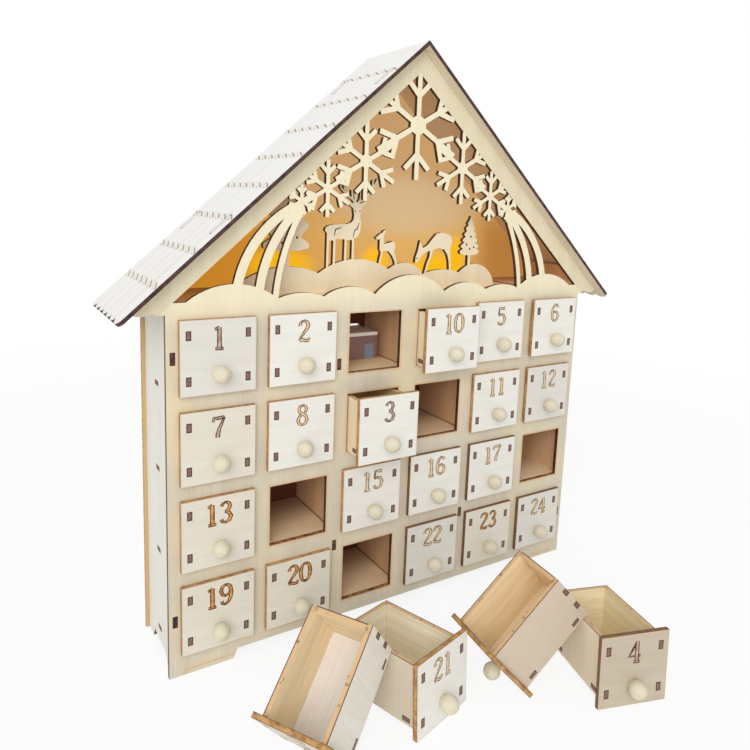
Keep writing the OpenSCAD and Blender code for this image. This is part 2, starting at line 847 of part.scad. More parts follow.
back_tab_shares = [0.3, 0.68];
floor_tab_shares = [0.14, 0.84];
module tray_side() {
    difference() {
        union() {
            translate([0, tray_lift])
                square([tray_d, tray_h]);
            for (share = face_tab_shares)
                translate([-ply, face_h * (1 - share) - small_tab_len / 2])
                    square([ply + tab_gap, small_tab_len]);
        }
        for (share = back_tab_shares)
            slot(tray_d - ply / 2, tray_lift + tray_h * (1 - share), ply, small_tab_len);
        for (share = floor_tab_shares)
            slot(tray_d * share, tray_lift + floor_lift + ply / 2, small_tab_len, ply);
    }
}

module tray_back() {
    inside = tray_w - 2 * ply - 2 * tab_gap;
    bar(0, tray_lift + tray_h / 2, inside, tray_h);
    for (share = back_tab_shares)
        bar(0, tray_lift + tray_h * (1 - share), tray_w, small_tab_len);
}

module tray_floor() {
    inside = tray_w - 2 * ply - 2 * tab_gap;
    translate([-inside / 2, tab_gap])
        square([inside, tray_d - ply - 2 * tab_gap]);
    for (share = floor_tab_shares)
        bar(0, tray_d * share, tray_w, small_tab_len);
}

module at_cell(d) {
    translate([cell_x(d[1]), -ply - slide_gap - d[3], cell_z(d[2]) - lap_z])
        children();
}

// A loose drawer stands on the back edge of its face and on the rear edge of its tray.
rest_tilt = atan2(tray_lift, tray_d);
place_shares_21 = [-0.735, -2];
place_shares_04 = [1.24, -2.844];
module standing(place_shares, turn) {
    translate([place_shares[0] * pitch, place_shares[1] * pitch, 0])
        rotate([0, 0, turn])
            translate([0, ply, 0])
                rotate([-rest_tilt, 0, 0])
                    translate([0, -ply, 0])
                        children();
}

// Turns by lean about X, then by twist less a quarter turn about Z.
function spun(p, lean, twist) =
    let (
        y = p[1] * cos(lean) - p[2] * sin(lean),
        z = p[1] * sin(lean) + p[2] * cos(lean)
    ) [p[0] * sin(twist) + y * cos(twist), y * sin(twist) - p[0] * cos(twist), z];

// How high a leaning drawer's face stands on its knob.
function foot_z(lean) = max(0, knob_r + knob_y() * sin(lean) - knob_z * cos(lean));

// Where a leaning drawer's foot lies beside the rim that it leans on.
function rim_z() = rim_h * cos(rest_tilt) + lean_gap;
function foot_x_at(side, lean, twist, foot_y) =
    let (
        fall = tan(rest_tilt),
        edge = spun([side * tray_w / 2, 0, tray_lift], lean, twist),
        run = spun([0, 1, 0], lean, twist),
        rise = rim_z() + fall * ply - fall * (foot_y + edge[1]) - foot_z(lean) - edge[2],
        s = rise / (run[2] + fall * run[1])
    ) -tray_w / 2 - edge[0] - s * run[0];
function foot_x(lean, twist, foot_y) =
    min(foot_x_at(-1, lean, twist, foot_y), foot_x_at(1, lean, twist, foot_y));

foot_y_share_09 = 0.586;
foot_y_share_14 = 0.73;
twist_09 = 15;
twist_14 = 11;
module leaning(place_shares, turn, lean, twist, foot_y) {
    translate([place_shares[0] * pitch, place_shares[1] * pitch, 0])
        rotate([0, 0, turn])
            translate([foot_x(lean, twist, foot_y), foot_y, foot_z(lean)])
                rotate([0, 0, twist - 90])
                    rotate([lean, 0, 0])
                        children();
}

module place_loose(name) {
    if (name == "21")
        standing(place_shares_21, turn_21) children();
    if (name == "04")
        standing(place_shares_04, turn_04) children();
    if (name == "09")
        leaning(place_shares_21, turn_21, lean_09, twist_09, foot_y_share_09 * pitch) children();
    if (name == "14")
        leaning(place_shares_04, turn_04, lean_14, twist_14, foot_y_share_14 * pitch) children();
}

// Everything above is measured from the front of the front panel.
module placed() {
    translate([0, -origin_y, 0])
        children();
}

placed() front_panel();
placed() snow_scene_panel();
placed() rear_panel();
placed() left_wall();
placed() right_wall();
placed() shelves();
placed() cell_dividers();
placed() left_roof();
placed() right_roof();
placed() lamp_strip();
placed() battery_box();
placed() battery_cover();
placed() button_cells();
placed() power_switch();
for (d = in_cells) {
    placed() at_cell(d) drawer_face();
    placed() at_cell(d) drawer_tray();
}
for (name = loose) {
    placed() place_loose(name) drawer_face();
    placed() place_loose(name) drawer_tray();
}
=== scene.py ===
import math

import bpy
from mathutils import Matrix, Vector


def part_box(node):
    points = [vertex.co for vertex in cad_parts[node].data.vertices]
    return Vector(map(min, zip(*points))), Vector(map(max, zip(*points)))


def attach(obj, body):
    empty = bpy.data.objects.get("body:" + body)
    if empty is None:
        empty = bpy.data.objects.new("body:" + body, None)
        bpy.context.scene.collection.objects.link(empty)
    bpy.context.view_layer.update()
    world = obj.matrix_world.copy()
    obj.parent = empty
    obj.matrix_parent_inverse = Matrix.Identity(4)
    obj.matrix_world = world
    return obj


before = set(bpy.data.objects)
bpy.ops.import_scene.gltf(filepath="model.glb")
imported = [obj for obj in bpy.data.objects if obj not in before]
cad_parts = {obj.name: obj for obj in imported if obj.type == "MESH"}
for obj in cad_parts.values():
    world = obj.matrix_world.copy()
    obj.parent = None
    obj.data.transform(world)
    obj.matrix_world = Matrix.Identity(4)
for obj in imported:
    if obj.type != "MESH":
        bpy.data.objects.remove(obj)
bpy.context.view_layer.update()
print("frame loaded:", len(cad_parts), "nodes")

mm = 0.001

# Place and lens of the camera, fitted to the photograph. Its place is in millimetres.
cameraPlace = {
    "eye": (-220.87, -370.04, 247.57),
    "forward": (0.52866, 0.83436, -0.15607),
    "up": (0.05083, 0.15242, 0.98701),
    "lens": 32.32,
    "sensor": 36,
    "shiftX": -0.01065,
    "shiftY": -0.0889,
}

# Sizes of the house that the finishes follow, in millimetres, and the roof's angle in degrees.
house = {
    "originY": 51.1,
    "ply": 2.5,
    "pitch": 46.0,
    "columns": 6,
    "opening": 34.0,
    "baseHeight": 14.2,
    "faceLap": 2.0,
    "faceGap": 0.2,
    "snowHeight": 196.4,
    "ridge": 334.72,
    "roofAngle": 41.75,
    "rearY": 49.85,
    "roofFront": 7.2,
}

# Sizes of one drawer, in its own frame: x across, y to the rear, z up from the face's lower edge.
drawer = {
    "faceWidth": 38.8,
    "faceHeight": 38.0,
    "trayWidth": 32.6,
    "trayDepth": 49.05,
    "trayLift": 2.5,
    "trayHeight": 32.2,
    "floorTop": 6.5,
    "tabLength": 4.6,
    "knobHeight": 10.79,
    "knobReach": 4.458,
    "knobRadius": 4.5,
    "faceTabHeights": (7.6, 30.29),
    "backTabShares": (0.3, 0.68),
    "floorTabShares": (0.14, 0.84),
}

# Number, column, row from the floor, and how far the drawer is pulled out in millimetres.
drawersInCells = (
    ("01", 0, 3, 0), ("02", 1, 3, 0), ("10", 3, 3, 10), ("05", 4, 3, 0), ("06", 5, 3, 1.6),
    ("07", 0, 2, 0), ("08", 1, 2, 0), ("03", 2, 2, 15.2), ("11", 4, 2, 0), ("12", 5, 2, 0),
    ("13", 0, 1, 0), ("15", 2, 1, 0), ("16", 3, 1, 0), ("17", 4, 1, 0),
    ("19", 0, 0, 0), ("20", 1, 0, 0), ("22", 3, 0, 0), ("23", 4, 0, 0), ("24", 5, 0, 0),
)

# Loose drawers on the floor: place of the upright ones and how the leaning ones lie on them.
looseDrawers = {
    "21": {"place": (-33.81, -92.0), "turn": 15.5},
    "04": {"place": (57.04, -130.824), "turn": -17.7},
    "09": {"on": "21", "lean": 40, "twist": 15, "along": 26.956},
    "14": {"on": "04", "lean": 42, "twist": 11, "along": 33.58},
}
# Play between a leaning drawer and the rim that it lies on, in millimetres.
leanGap = 0.5


def colour(hexValue):
    values = [int(hexValue[i:i + 2], 16) / 255 for i in (1, 3, 5)]
    return tuple(v / 12.92 if v < 0.04045 else ((v + 0.055) / 1.055) ** 2.4 for v in values) + (1.0,)


def turned(axis, degrees):
    return Matrix.Rotation(math.radians(degrees), 4, axis)


def uprightMatrix(name):
    spec = looseDrawers[name]
    tilt = math.degrees(math.atan2(drawer["trayLift"], drawer["trayDepth"]))
    ply = house["ply"]
    base = Matrix.Translation((spec["place"][0], spec["place"][1], 0)) @ turned("Z", spec["turn"])
    stand = Matrix.Translation((0, ply, 0)) @ turned("X", -tilt) @ Matrix.Translation((0, -ply, 0))
    return base, base @ stand, tilt


def leaningMatrix(name):
    # The leaning drawer's lower tray edge rests on the rim of the upright one's side.
    spec = looseDrawers[name]
    base, _, tilt = uprightMatrix(spec["on"])
    half = drawer["trayWidth"] / 2
    fall = math.tan(math.radians(tilt))
    rim = (drawer["trayLift"] + drawer["trayHeight"]) * math.cos(math.radians(tilt)) + leanGap
    turn = turned("Z", spec["twist"] - 90) @ turned("X", spec["lean"])
    lean = math.radians(spec["lean"])
    foot = max(0, drawer["knobRadius"] + drawer["knobReach"] * math.sin(lean) - drawer["knobHeight"] * math.cos(lean))
    places = []
    run = turn @ Vector((0, 1, 0))
    for side in (-1, 1):
        edge = turn @ Vector((side * half, 0, drawer["trayLift"]))
        reach = (rim + fall * house["ply"] - fall * (spec["along"] + edge.y) - foot - edge.z) / (run.z + fall * run.y)
        places.append(-half - edge.x - reach * run.x)
    return base @ Matrix.Translation((min(places), spec["along"], foot)) @ turn


def drawerMatrix(name):
    # Where a drawer's own frame lies in the row frame, in millimetres.
    for number, column, row, pull in drawersInCells:
        if number == name:
            x = (column - (house["columns"] - 1) / 2) * house["pitch"]
            y = -house["ply"] - house["faceGap"] - pull - house["originY"]
            z = house["baseHeight"] + row * house["pitch"] - house["faceLap"]
            return Matrix.Translation((x, y, z))
    shift = Matrix.Translation((0, -house["originY"], 0))
    if "on" in looseDrawers[name]:
        return shift @ leaningMatrix(name)
    return shift @ uprightMatrix(name)[1]


drawerNames = [d[0] for d in drawersInCells] + list(looseDrawers)


# Helpers for the node trees

def addNode(tree, kind, inputs=(), **settings):
    new = tree.nodes.new(kind)
    for key, value in settings.items():
        setattr(new, key, value)
    pairs = inputs.items() if isinstance(inputs, dict) else enumerate(inputs)
    for key, value in pairs:
        if isinstance(value, bpy.types.NodeSocket):
            tree.links.new(value, new.inputs[key])
        elif value is not None:
            new.inputs[key].default_value = value
    return new


def startMaterial(name):
    material = bpy.data.materials.new(name)
    material.use_nodes = True
    tree = material.node_tree
    tree.nodes.clear()
    output = addNode(tree, "ShaderNodeOutputMaterial")
    return material, tree, output


def startGroup(name, colours):
    # A wood that many pieces share takes a place, a normal and its tones, and gives colour and height.
    tree = bpy.data.node_groups.new(name, "ShaderNodeTree")
    for socket in ("Place", "Normal"):
        tree.interface.new_socket(socket, socket_type="NodeSocketVector", in_out="INPUT")
    for socket in colours:
        tree.interface.new_socket(socket, socket_type="NodeSocketColor", in_out="INPUT")
    tree.interface.new_socket("Color", socket_type="NodeSocketColor", in_out="OUTPUT")
    tree.interface.new_socket("Height", socket_type="NodeSocketFloat", in_out="OUTPUT")
    return tree, addNode(tree, "NodeGroupInput").outputs


def finishGroup(tree, base, height):
    result = addNode(tree, "NodeGroupOutput")
    tree.links.new(base, result.inputs[0])
    tree.links.new(height, result.inputs[1])
    return tree


def finishShader(tree, output, base, roughness, height=None, bump=0.15, bumpDistance=0.0003, **sockets):
    shader = addNode(tree, "ShaderNodeBsdfPrincipled")
    for key, value in dict(sockets, Base_Color=base, Roughness=roughness).items():
        target = shader.inputs[key.replace("_", " ")]
        if isinstance(value, bpy.types.NodeSocket):
            tree.links.new(value, target)
        else:
            target.default_value = value
    if height is not None:
        relief = addNode(tree, "ShaderNodeBump", {"Strength": bump, "Distance": bumpDistance, "Height": height})
        tree.links.new(relief.outputs[0], shader.inputs["Normal"])
    tree.links.new(shader.outputs[0], output.inputs[0])
    return shader


def baseOf(shader):
    return shader.inputs["Base Color"].links[0].from_socket


def repaint(tree, shader, base):
    tree.links.new(base, shader.inputs["Base Color"])


def mixed(tree, factor, first, second):
    return addNode(tree, "ShaderNodeMix", {0: factor, 6: first, 7: second}, data_type="RGBA").outputs[2]


def combine(tree, operation, first, second=None):
    return addNode(tree, "ShaderNodeMath", (first, second), operation=operation).outputs[0]


def step(tree, value, edge, rising=True):
    return combine(tree, "GREATER_THAN" if rising else "LESS_THAN", value, edge)


def both(tree, first, second):
    return combine(tree, "MULTIPLY", first, second)


def either(tree, first, second):
    return combine(tree, "MAXIMUM", first, second)


def ramp(tree, value, low, high, first=0.0, last=1.0):
    made = addNode(tree, "ShaderNodeMapRange", (value, low, high, first, last), interpolation_type="SMOOTHSTEP")
    return made.outputs[0]


def split(tree, vector):
    return addNode(tree, "ShaderNodeSeparateXYZ", (vector,)).outputs


def magnitude(tree, value):
    return combine(tree, "ABSOLUTE", value)


def away(tree, value, centre):
    return magnitude(tree, combine(tree, "SUBTRACT", value, centre))


def cloud(tree, place, period, seed=0.0, detail=2.0):
    # Even noise with lumps of about the given size in millimetres.
    spread = addNode(tree, "ShaderNodeMapping", {0: place, 1: (seed, 0, 0), 3: (1 / (period * mm),) * 3})
    return addNode(tree, "ShaderNodeTexNoise", {0: spread.outputs[0], 2: 1.0, 3: detail}).outputs[0]


def veneer(tree, place, pale, mid, dark, lengths, seed=0.0, strength=1.0):
    # Birch veneer: fine streaks along the grain, a slow drift in tone, and sparse short flecks.
    scale = tuple(1 / (v * mm) for v in lengths)
    streaks = addNode(tree, "ShaderNodeMapping", {0: place, 1: (seed, seed * 0.7, 0), 3: scale}).outputs[0]
    fine = addNode(tree, "ShaderNodeTexNoise", {0: streaks, 2: 1.0, 3: 4.0, 4: 0.6}).outputs[0]
    drift = addNode(tree, "ShaderNodeTexNoise", {0: streaks, 2: 0.12, 3: 2.0}).outputs[0]
    fleck = addNode(tree, "ShaderNodeTexNoise", {0: streaks, 2: 2.6, 3: 1.0}).outputs[0]
    tone = mixed(tree, ramp(tree, fine, 0.3, 0.7, 0, strength), pale, mid)
    tone = mixed(tree, ramp(tree, drift, 0.35, 0.75, 0, 0.6), tone, mid)
    tone = mixed(tree, ramp(tree, fleck, 0.66, 0.74, 0, 0.25 * strength), tone, dark)
    return tone, fine


def charred(tree, place, light, dark):
    # Cut by a laser: a brown edge, scorched unevenly.
    return mixed(tree, ramp(tree, cloud(tree, place, 2.5, detail=3.0), 0.35, 0.68), light, dark)


# Drawers

# Tones of the faces by class, and the drawers whose cut edges are scorched all over.
faceWood = {
    "tones": {"white": ("#F0EFE8", "#E6E3DA"), "cream": ("#E8E3D5", "#DCD4C3"), "grey": ("#E4E1D9", "#D9D5CB"),
              "buff": ("#CABEAA", "#BBAC95")},
    "dark": "#C4B394", "grain": (24, 24, 0.9),
    "edgeLight": "#D3A468", "edgeMid": "#AC7842", "edgeDark": "#4A2A1C", "soot": "#C9985A", "sootWidth": 0.5,
    "charred": ("16", "17", "22", "23", "24", "04"), "charBase": 0.3, "charSpread": 0.4,
    "blushSize": 22, "burnSize": 9, "burnDepth": (0.6, 2.0), "skin": (0.8, 1.2), "frontPlane": -0.05,
    "knobPale": "#DED6BE", "knobMid": "#D2C8AC", "knobShade": "#C4B694", "shadeSize": 3.5, "neck": (-1.4, -0.2),
}
# These classes are partly the boards' own tones and partly painted shade: buff for 04 and grey for 01 are darker for
# how these faces lie in the light.
faceTones = {
    "white": ("02", "03", "05", "06", "08", "10", "11", "15", "16", "17", "21"),
    "grey": ("01", "12", "22", "24"),
    "buff": ("04",),
}


def toneOf(name):
    for tone, names in faceTones.items():
        if name in names:
            return tone
    return "cream"


def makeFaceGroup():
    # Sanded birch ply, pale and nearly matt, with a turned birch knob that is creamier.
    tree, given = startGroup("sandedBirchFace", ("Pale", "Mid", "Char"))
    place, normal, pale, mid, char = list(given)[:5]
    x, y, z = split(tree, place)
    ny = split(tree, normal)[1]
    w, d = faceWood, drawer
    wood, fine = veneer(tree, place, pale, mid, colour(w["dark"]), w["grain"], 0.0, 0.5)
    blush = ramp(tree, cloud(tree, place, w["blushSize"], 5.0), 0.42, 0.7, 0, 0.35)
    wood = mixed(tree, blush, wood, mid)
    sideGap = combine(tree, "SUBTRACT", d["faceWidth"] / 2 * mm, magnitude(tree, x))
    endGap = combine(tree, "SUBTRACT", d["faceHeight"] / 2 * mm, away(tree, z, d["faceHeight"] / 2 * mm))
    rimGap = combine(tree, "MINIMUM", sideGap, endGap)
    sooty = ramp(tree, rimGap, 0, w["sootWidth"] * mm, 0.75, 0)
    front = mixed(tree, sooty, wood, colour(w["soot"]))
    # The plate's cut edge is tan at the front and scorched darker towards the rear.
    blotches = ramp(tree, cloud(tree, place, w["burnSize"], 2.0), 0.4, 0.62, 0.25, 1)
    burn = both(tree, ramp(tree, y, w["burnDepth"][0] * mm, w["burnDepth"][1] * mm, 0.35, 1), blotches)
    edge = charred(tree, place, colour(w["edgeLight"]), colour(w["edgeMid"]))
    burn = either(tree, both(tree, burn, char), ramp(tree, char, 0.6, 1, 0, 0.75))
    edge = mixed(tree, burn, edge, colour(w["edgeDark"]))
    fromMiddle = away(tree, y, house["ply"] / 2 * mm)
    skin = ramp(tree, fromMiddle, w["skin"][0] * mm, w["skin"][1] * mm, 0, 0.8)
    edge = mixed(tree, skin, edge, colour(w["edgeDark"]))
    isEdge = step(tree, magnitude(tree, ny), 0.5, rising=False)
    plate = mixed(tree, isEdge, front, edge)
    shade = ramp(tree, cloud(tree, place, w["shadeSize"], 3.0), 0.4, 0.7, 0, 0.6)
    knob = mixed(tree, shade, colour(w["knobPale"]), colour(w["knobMid"]))
    neck = ramp(tree, y, w["neck"][0] * mm, w["neck"][1] * mm, 0, 0.8)
    knob = mixed(tree, neck, knob, colour(w["knobShade"]))
    whole = mixed(tree, step(tree, y, w["frontPlane"] * mm, rising=False), plate, knob)
    return finishGroup(tree, whole, fine)


# Snug, slack, rimSlack and tabReach say how near to a surface a point counts as on it, in millimetres.
trayWood = {
    "grain": (26, 26, 0.9), "outGrain": (20, 0.9, 26), "dark": "#B98F58", "drift": "#CFAE7C",
    "edgeTan": "#DDB888", "edgeLine": "#4A281A", "tabMiddle": "#9A7866", "tabRim": "#3A1C16",
    "tabRimWidth": 0.4, "rimOuter": (-1.05, -0.5), "rimInner": (1.15, 1.4),
    "blotchSize": 4, "bottomGrain": (0.9, 26, 26), "snug": 0.05, "slack": 0.3, "rimSlack": 0.5, "tabReach": 1.5,
}
# The loose drawers' tones are partly the wood's own and partly painted light and shade: paler insides for light that
# barely reaches them, darker outsides on 14 and 21.
trayTones = {
    "plain": {"inside": "#E8C696", "floor": "#E6C99E", "outside": "#F2E2C2"},
    "09": {"inside": "#FFEECA", "floor": "#F0EFF0", "outside": "#F2EFE6"},
    "14": {"inside": "#FFE8C0", "floor": "#FFEACB", "outside": "#D2C4B2"},
    "21": {"inside": "#FFF8E2", "floor": "#FBEED2", "outside": "#D8CEBC"},
    "04": {"inside": "#FFF4D2", "floor": "#FCEAC4", "outside": "#F0E4CC"},
}


def tabMask(tree, across, up, centreAcross, centreUp, width, height):
    # 1 on the end of a tab, and 2 on the scorched rim round it.
    deepAcross = combine(tree, "SUBTRACT", width / 2 * mm, away(tree, across, centreAcross * mm))
    deepUp = combine(tree, "SUBTRACT", height / 2 * mm, away(tree, up, centreUp * mm))
    deep = combine(tree, "MINIMUM", deepAcross, deepUp)
    inside = step(tree, deep, -0.02 * mm)
    isRim = step(tree, deep, trayWood["tabRimWidth"] * mm, rising=False)
    return combine(tree, "ADD", inside, both(tree, inside, isRim))


def paintTabs(tree, place, base, mask, middle, rim):
    spots = ramp(tree, cloud(tree, place, 0.9, 1.0, 3.0), 0.3, 0.7, 0, 0.7)
    heart = mixed(tree, spots, colour(middle), colour(rim))
    base = mixed(tree, step(tree, mask, 0.5), base, heart)
    return mixed(tree, step(tree, mask, 1.5), base, colour(rim))


def makeTrayGroup():
    # Raw birch ply: cream outside, warmer inside, with scorched rims and tab ends.
    tree, given = startGroup("rawBirchTray", ("Inside", "Floor", "Outside"))
    place, normal, insideTone, floorTone, outsideTone = list(given)[:5]
    x, y, z = split(tree, place)
    nx, ny, nz = split(tree, normal)
    w, d = trayWood, drawer
    ply = house["ply"]
    half = d["trayWidth"] / 2
    rear = ply + d["trayDepth"]
    rim = d["trayLift"] + d["trayHeight"]
    dark, drift = colour(w["dark"]), colour(w["drift"])
    driftIn = mixed(tree, 0.45, insideTone, drift)
    driftOut = mixed(tree, 0.22, outsideTone, drift)
    outside, fine = veneer(tree, place, outsideTone, driftOut, dark, w["outGrain"], 1.0)
    inside, _ = veneer(tree, place, insideTone, driftIn, dark, w["grain"], 2.0, 0.8)
    driftFloor = mixed(tree, 0.3, floorTone, drift)
    bottom, _ = veneer(tree, place, floorTone, driftFloor, dark, w["bottomGrain"], 3.0, 0.8)
    sideBody = step(tree, magnitude(tree, x), (half - ply - w["snug"]) * mm)
    backBody = step(tree, y, (rear - ply - w["snug"]) * mm)
    inward = combine(tree, "SUBTRACT", (half - ply / 2) * mm, magnitude(tree, x))
    inward = mixed(tree, sideBody, combine(tree, "SUBTRACT", (rear - ply / 2) * mm, y), inward)
    scorch = ramp(tree, inward, w["rimOuter"][0] * mm, w["rimOuter"][1] * mm, 1, 0)
    scorch = either(tree, scorch, ramp(tree, inward, w["rimInner"][0] * mm, w["rimInner"][1] * mm, 0, 0.45))
    scorch = either(tree, scorch, ramp(tree, cloud(tree, place, w["blotchSize"], 6.0, 3.0), 0.6, 0.75, 0, 0.8))
    edge = mixed(tree, scorch, colour(w["edgeTan"]), colour(w["edgeLine"]))
    facingX = step(tree, magnitude(tree, nx), 0.5)
    facingY = step(tree, magnitude(tree, ny), 0.5)
    outer = both(tree, step(tree, magnitude(tree, x), (half - w["slack"]) * mm), facingX)
    outer = either(tree, outer, both(tree, facingY, step(tree, y, (rear - w["slack"]) * mm)))
    outer = either(tree, outer, step(tree, nz, -0.5, rising=False))
    isFloor = both(tree, step(tree, nz, 0.5), step(tree, z, (d["floorTop"] + w["slack"]) * mm, rising=False))
    base = mixed(tree, isFloor, inside, bottom)
    base = mixed(tree, outer, base, outside)
    rimTop = both(tree, step(tree, nz, 0.5), step(tree, z, (rim - w["rimSlack"]) * mm))
    sideEdge = both(tree, sideBody, either(tree, facingY, step(tree, nz, -0.5, rising=False)))
    backEdge = both(tree, backBody, step(tree, nz, -0.5, rising=False))
    base = mixed(tree, either(tree, rimTop, either(tree, sideEdge, backEdge)), base, edge)
    tabs = 0.0
    for share in d["backTabShares"]:
        up = d["trayLift"] + d["trayHeight"] * (1 - share)
        tabs = either(tree, tabs, tabMask(tree, y, z, rear - ply / 2, up, ply, d["tabLength"]))
    for share in d["floorTabShares"]:
        middle = (ply + d["trayDepth"] * share, d["floorTop"] - ply / 2)
        tabs = either(tree, tabs, tabMask(tree, y, z, *middle, d["tabLength"], ply))
    tabs = both(tree, tabs, both(tree, outer, facingX))
    for up in d["faceTabHeights"]:
        frontTab = tabMask(tree, magnitude(tree, x), z, half - ply / 2, up, ply, d["tabLength"])
        tabs = either(tree, tabs, both(tree, frontTab, step(tree, y, w["tabReach"] * mm, rising=False)))
    return finishGroup(tree, paintTabs(tree, place, base, tabs, w["tabMiddle"], w["tabRim"]), fine)


def drawerMaterial(name, group, part, tones):
    # Follows the drawer: places and normals are turned into its own frame first.
    material, tree, output = startMaterial(f"{part}_{name}")
    matrix = drawerMatrix(name)
    coords = addNode(tree, "ShaderNodeTexCoord")
    origin = tuple(v * mm for v in matrix.translation)
    local = addNode(tree, "ShaderNodeMapping",
                    {0: coords.outputs["Object"], 1: origin, 2: tuple(matrix.to_euler())}, vector_type="TEXTURE")
    back = matrix.to_3x3().inverted().to_euler()
    facing = addNode(tree, "ShaderNodeMapping", {0: coords.outputs["Normal"], 2: tuple(back)}, vector_type="VECTOR")
    wood = addNode(tree, "ShaderNodeGroup", node_tree=group)
    tree.links.new(local.outputs[0], wood.inputs[0])
    tree.links.new(facing.outputs[0], wood.inputs[1])
    for index, tone in enumerate(tones):
        wood.inputs[index + 2].default_value = tone
    finishShader(tree, output, wood.outputs[0], 0.62, wood.outputs[1], 0.12, 0.0002)
    return material


# House

panelWood = {
    "pale": "#DCD3C0", "mid": "#CFC4AE", "dark": "#C2AF8B", "grain": (0.9, 24, 30),
    "snowPale": "#F3E9CC", "snowMid": "#EADFBC", "borderPale": "#E5DCC0", "borderMid": "#DBD0AE", "borderWidth": 12.2,
    "insidePale": "#E2B98C", "insideMid": "#CDA074", "edgeLight": "#5C3422", "edgeDark": "#20100B",
    "tabEnd": "#F3F1EC", "halo": "#D9A766", "haloWidth": 2.2, "sillPaintedLight": "#C08A50", "warm": "#E9DAB0", "warmSize": 38,
    "warmRise": (20, 190), "snowRise": (180, 200), "cellsTop": 187, "archTop": 12,
}


def panelMaterial(name, axis, flat, inward=0, wood=panelWood, strength=0.7):
    # Birch ply sheet. axis is the one that its faces look along; inward is the side that faces the cells.
    material, tree, output = startMaterial(name)
    coords = addNode(tree, "ShaderNodeTexCoord")
    place = coords.outputs["Object"]
    facing = split(tree, coords.outputs["Normal"])[axis]
    tones = [colour(wood[key]) for key in ("pale", "mid", "dark")]
    base, fine = veneer(tree, place, *tones, flat, 0.0, strength)
    if inward:
        inner = colour(wood["insideMid"])
        inside, _ = veneer(tree, place, colour(wood["insidePale"]), inner, inner, flat, 2.0)
        base = mixed(tree, step(tree, both(tree, facing, float(inward)), 0.5), base, inside)
    edge = charred(tree, place, colour(wood["edgeLight"]), colour(wood["edgeDark"]))
    base = mixed(tree, step(tree, magnitude(tree, facing), 0.5, rising=False), base, edge)
    shader = finishShader(tree, output, base, 0.6, fine, 0.12, 0.0002)
    return material, tree, shader


def underPaint(tree, x, z):
    # How far a point lies under the roof's painted skin, in metres.
    angle = math.radians(house["roofAngle"])
    height = combine(tree, "MULTIPLY", z, math.cos(angle))
    height = combine(tree, "ADD", height, combine(tree, "MULTIPLY", magnitude(tree, x), math.sin(angle)))
    return combine(tree, "SUBTRACT", house["ridge"] * math.cos(angle) * mm, height)


def whiteTabEnds(tree, shader, x, z):
    # Ends of the tabs that reach through the roof are white, as the roof is.
    ends = step(tree, underPaint(tree, x, z), 0.5 * mm, rising=False)
    base = mixed(tree, ends, baseOf(shader), colour(panelWood["tabEnd"]))
    repaint(tree, shader, base)


def frontMaterial():
    # The front sheet: yellower snow and gable above, greyer below, browned round each cell by the cut.
    w, h = panelWood, house
    material, tree, shader = panelMaterial("birchFront", 1, w["grain"], 1)
    coords = addNode(tree, "ShaderNodeTexCoord")
    place = coords.outputs["Object"]
    x, _, z = split(tree, place)
    _, ny, nz = split(tree, coords.outputs["Normal"])
    isFront = step(tree, ny, -0.5, rising=False)
    dark = colour(w["dark"])
    snow, _ = veneer(tree, place, colour(w["snowPale"]), colour(w["snowMid"]), dark, w["grain"], 4.0, 0.6)
    base = baseOf(shader)
    warmth = ramp(tree, cloud(tree, place, w["warmSize"], 7.0), 0.4, 0.66, 0.05, 0.75)
    warmth = both(tree, warmth, ramp(tree, z, w["warmRise"][0] * mm, w["warmRise"][1] * mm, 0.35, 1))
    base = mixed(tree, both(tree, isFront, warmth), base, colour(w["warm"]))
    border, _ = veneer(tree, place, colour(w["borderPale"]), colour(w["borderMid"]), dark, w["grain"], 6.0, 0.6)
    isBorder = step(tree, underPaint(tree, x, z), w["borderWidth"] * mm, rising=False)
    snow = mixed(tree, isBorder, snow, border)
    rise = ramp(tree, z, w["snowRise"][0] * mm, w["snowRise"][1] * mm)
    base = mixed(tree, both(tree, isFront, rise), base, snow)
    pitches = combine(tree, "DIVIDE", x, h["pitch"] * mm)
    across = combine(tree, "FRACT", combine(tree, "ADD", pitches, h["columns"] / 2))
    fromColumn = combine(tree, "MULTIPLY", away(tree, across, 0.5), h["pitch"])
    up = combine(tree, "SUBTRACT", combine(tree, "DIVIDE", z, mm), h["baseHeight"])
    up = combine(tree, "MULTIPLY", combine(tree, "FRACT", combine(tree, "DIVIDE", up, h["pitch"])), h["pitch"])
    middle = h["opening"] / 2
    fromRow = combine(tree, "MINIMUM", away(tree, up, middle), away(tree, up, middle + h["pitch"]))
    gap = combine(tree, "SUBTRACT", either(tree, fromColumn, fromRow), middle)
    halo = both(tree, ramp(tree, gap, 0, w["haloWidth"], 0.55, 0), step(tree, gap, -0.1))
    underSnow = step(tree, z, w["cellsTop"] * mm, rising=False)
    halo = both(tree, both(tree, halo, isFront), underSnow)
    base = mixed(tree, halo, base, colour(w["halo"]))
    # The lower cut edges of the cells face up and get painted light, a lighter tan over their scorch; the other cut
    # edges stay dark.
    sillPaintedLight = both(tree, step(tree, nz, 0.5), both(tree, step(tree, z, w["archTop"] * mm), underSnow))
    base = mixed(tree, sillPaintedLight, base, charred(tree, place, colour(w["sillPaintedLight"]), colour(w["edgeLight"])))
    repaint(tree, shader, base)
    whiteTabEnds(tree, shader, x, z)
    return material


jointShade = {
    "width": 1.1, "tone": "#3A1A0E", "strength": 0.95,
    "rearShade": "#6A3420", "rearShadeReach": (4, 36), "rearShadeStrength": 0.6,
    "dark": "#A87A48", "edgeLight": "#6E4530", "edgeDark": "#3A2018",
}


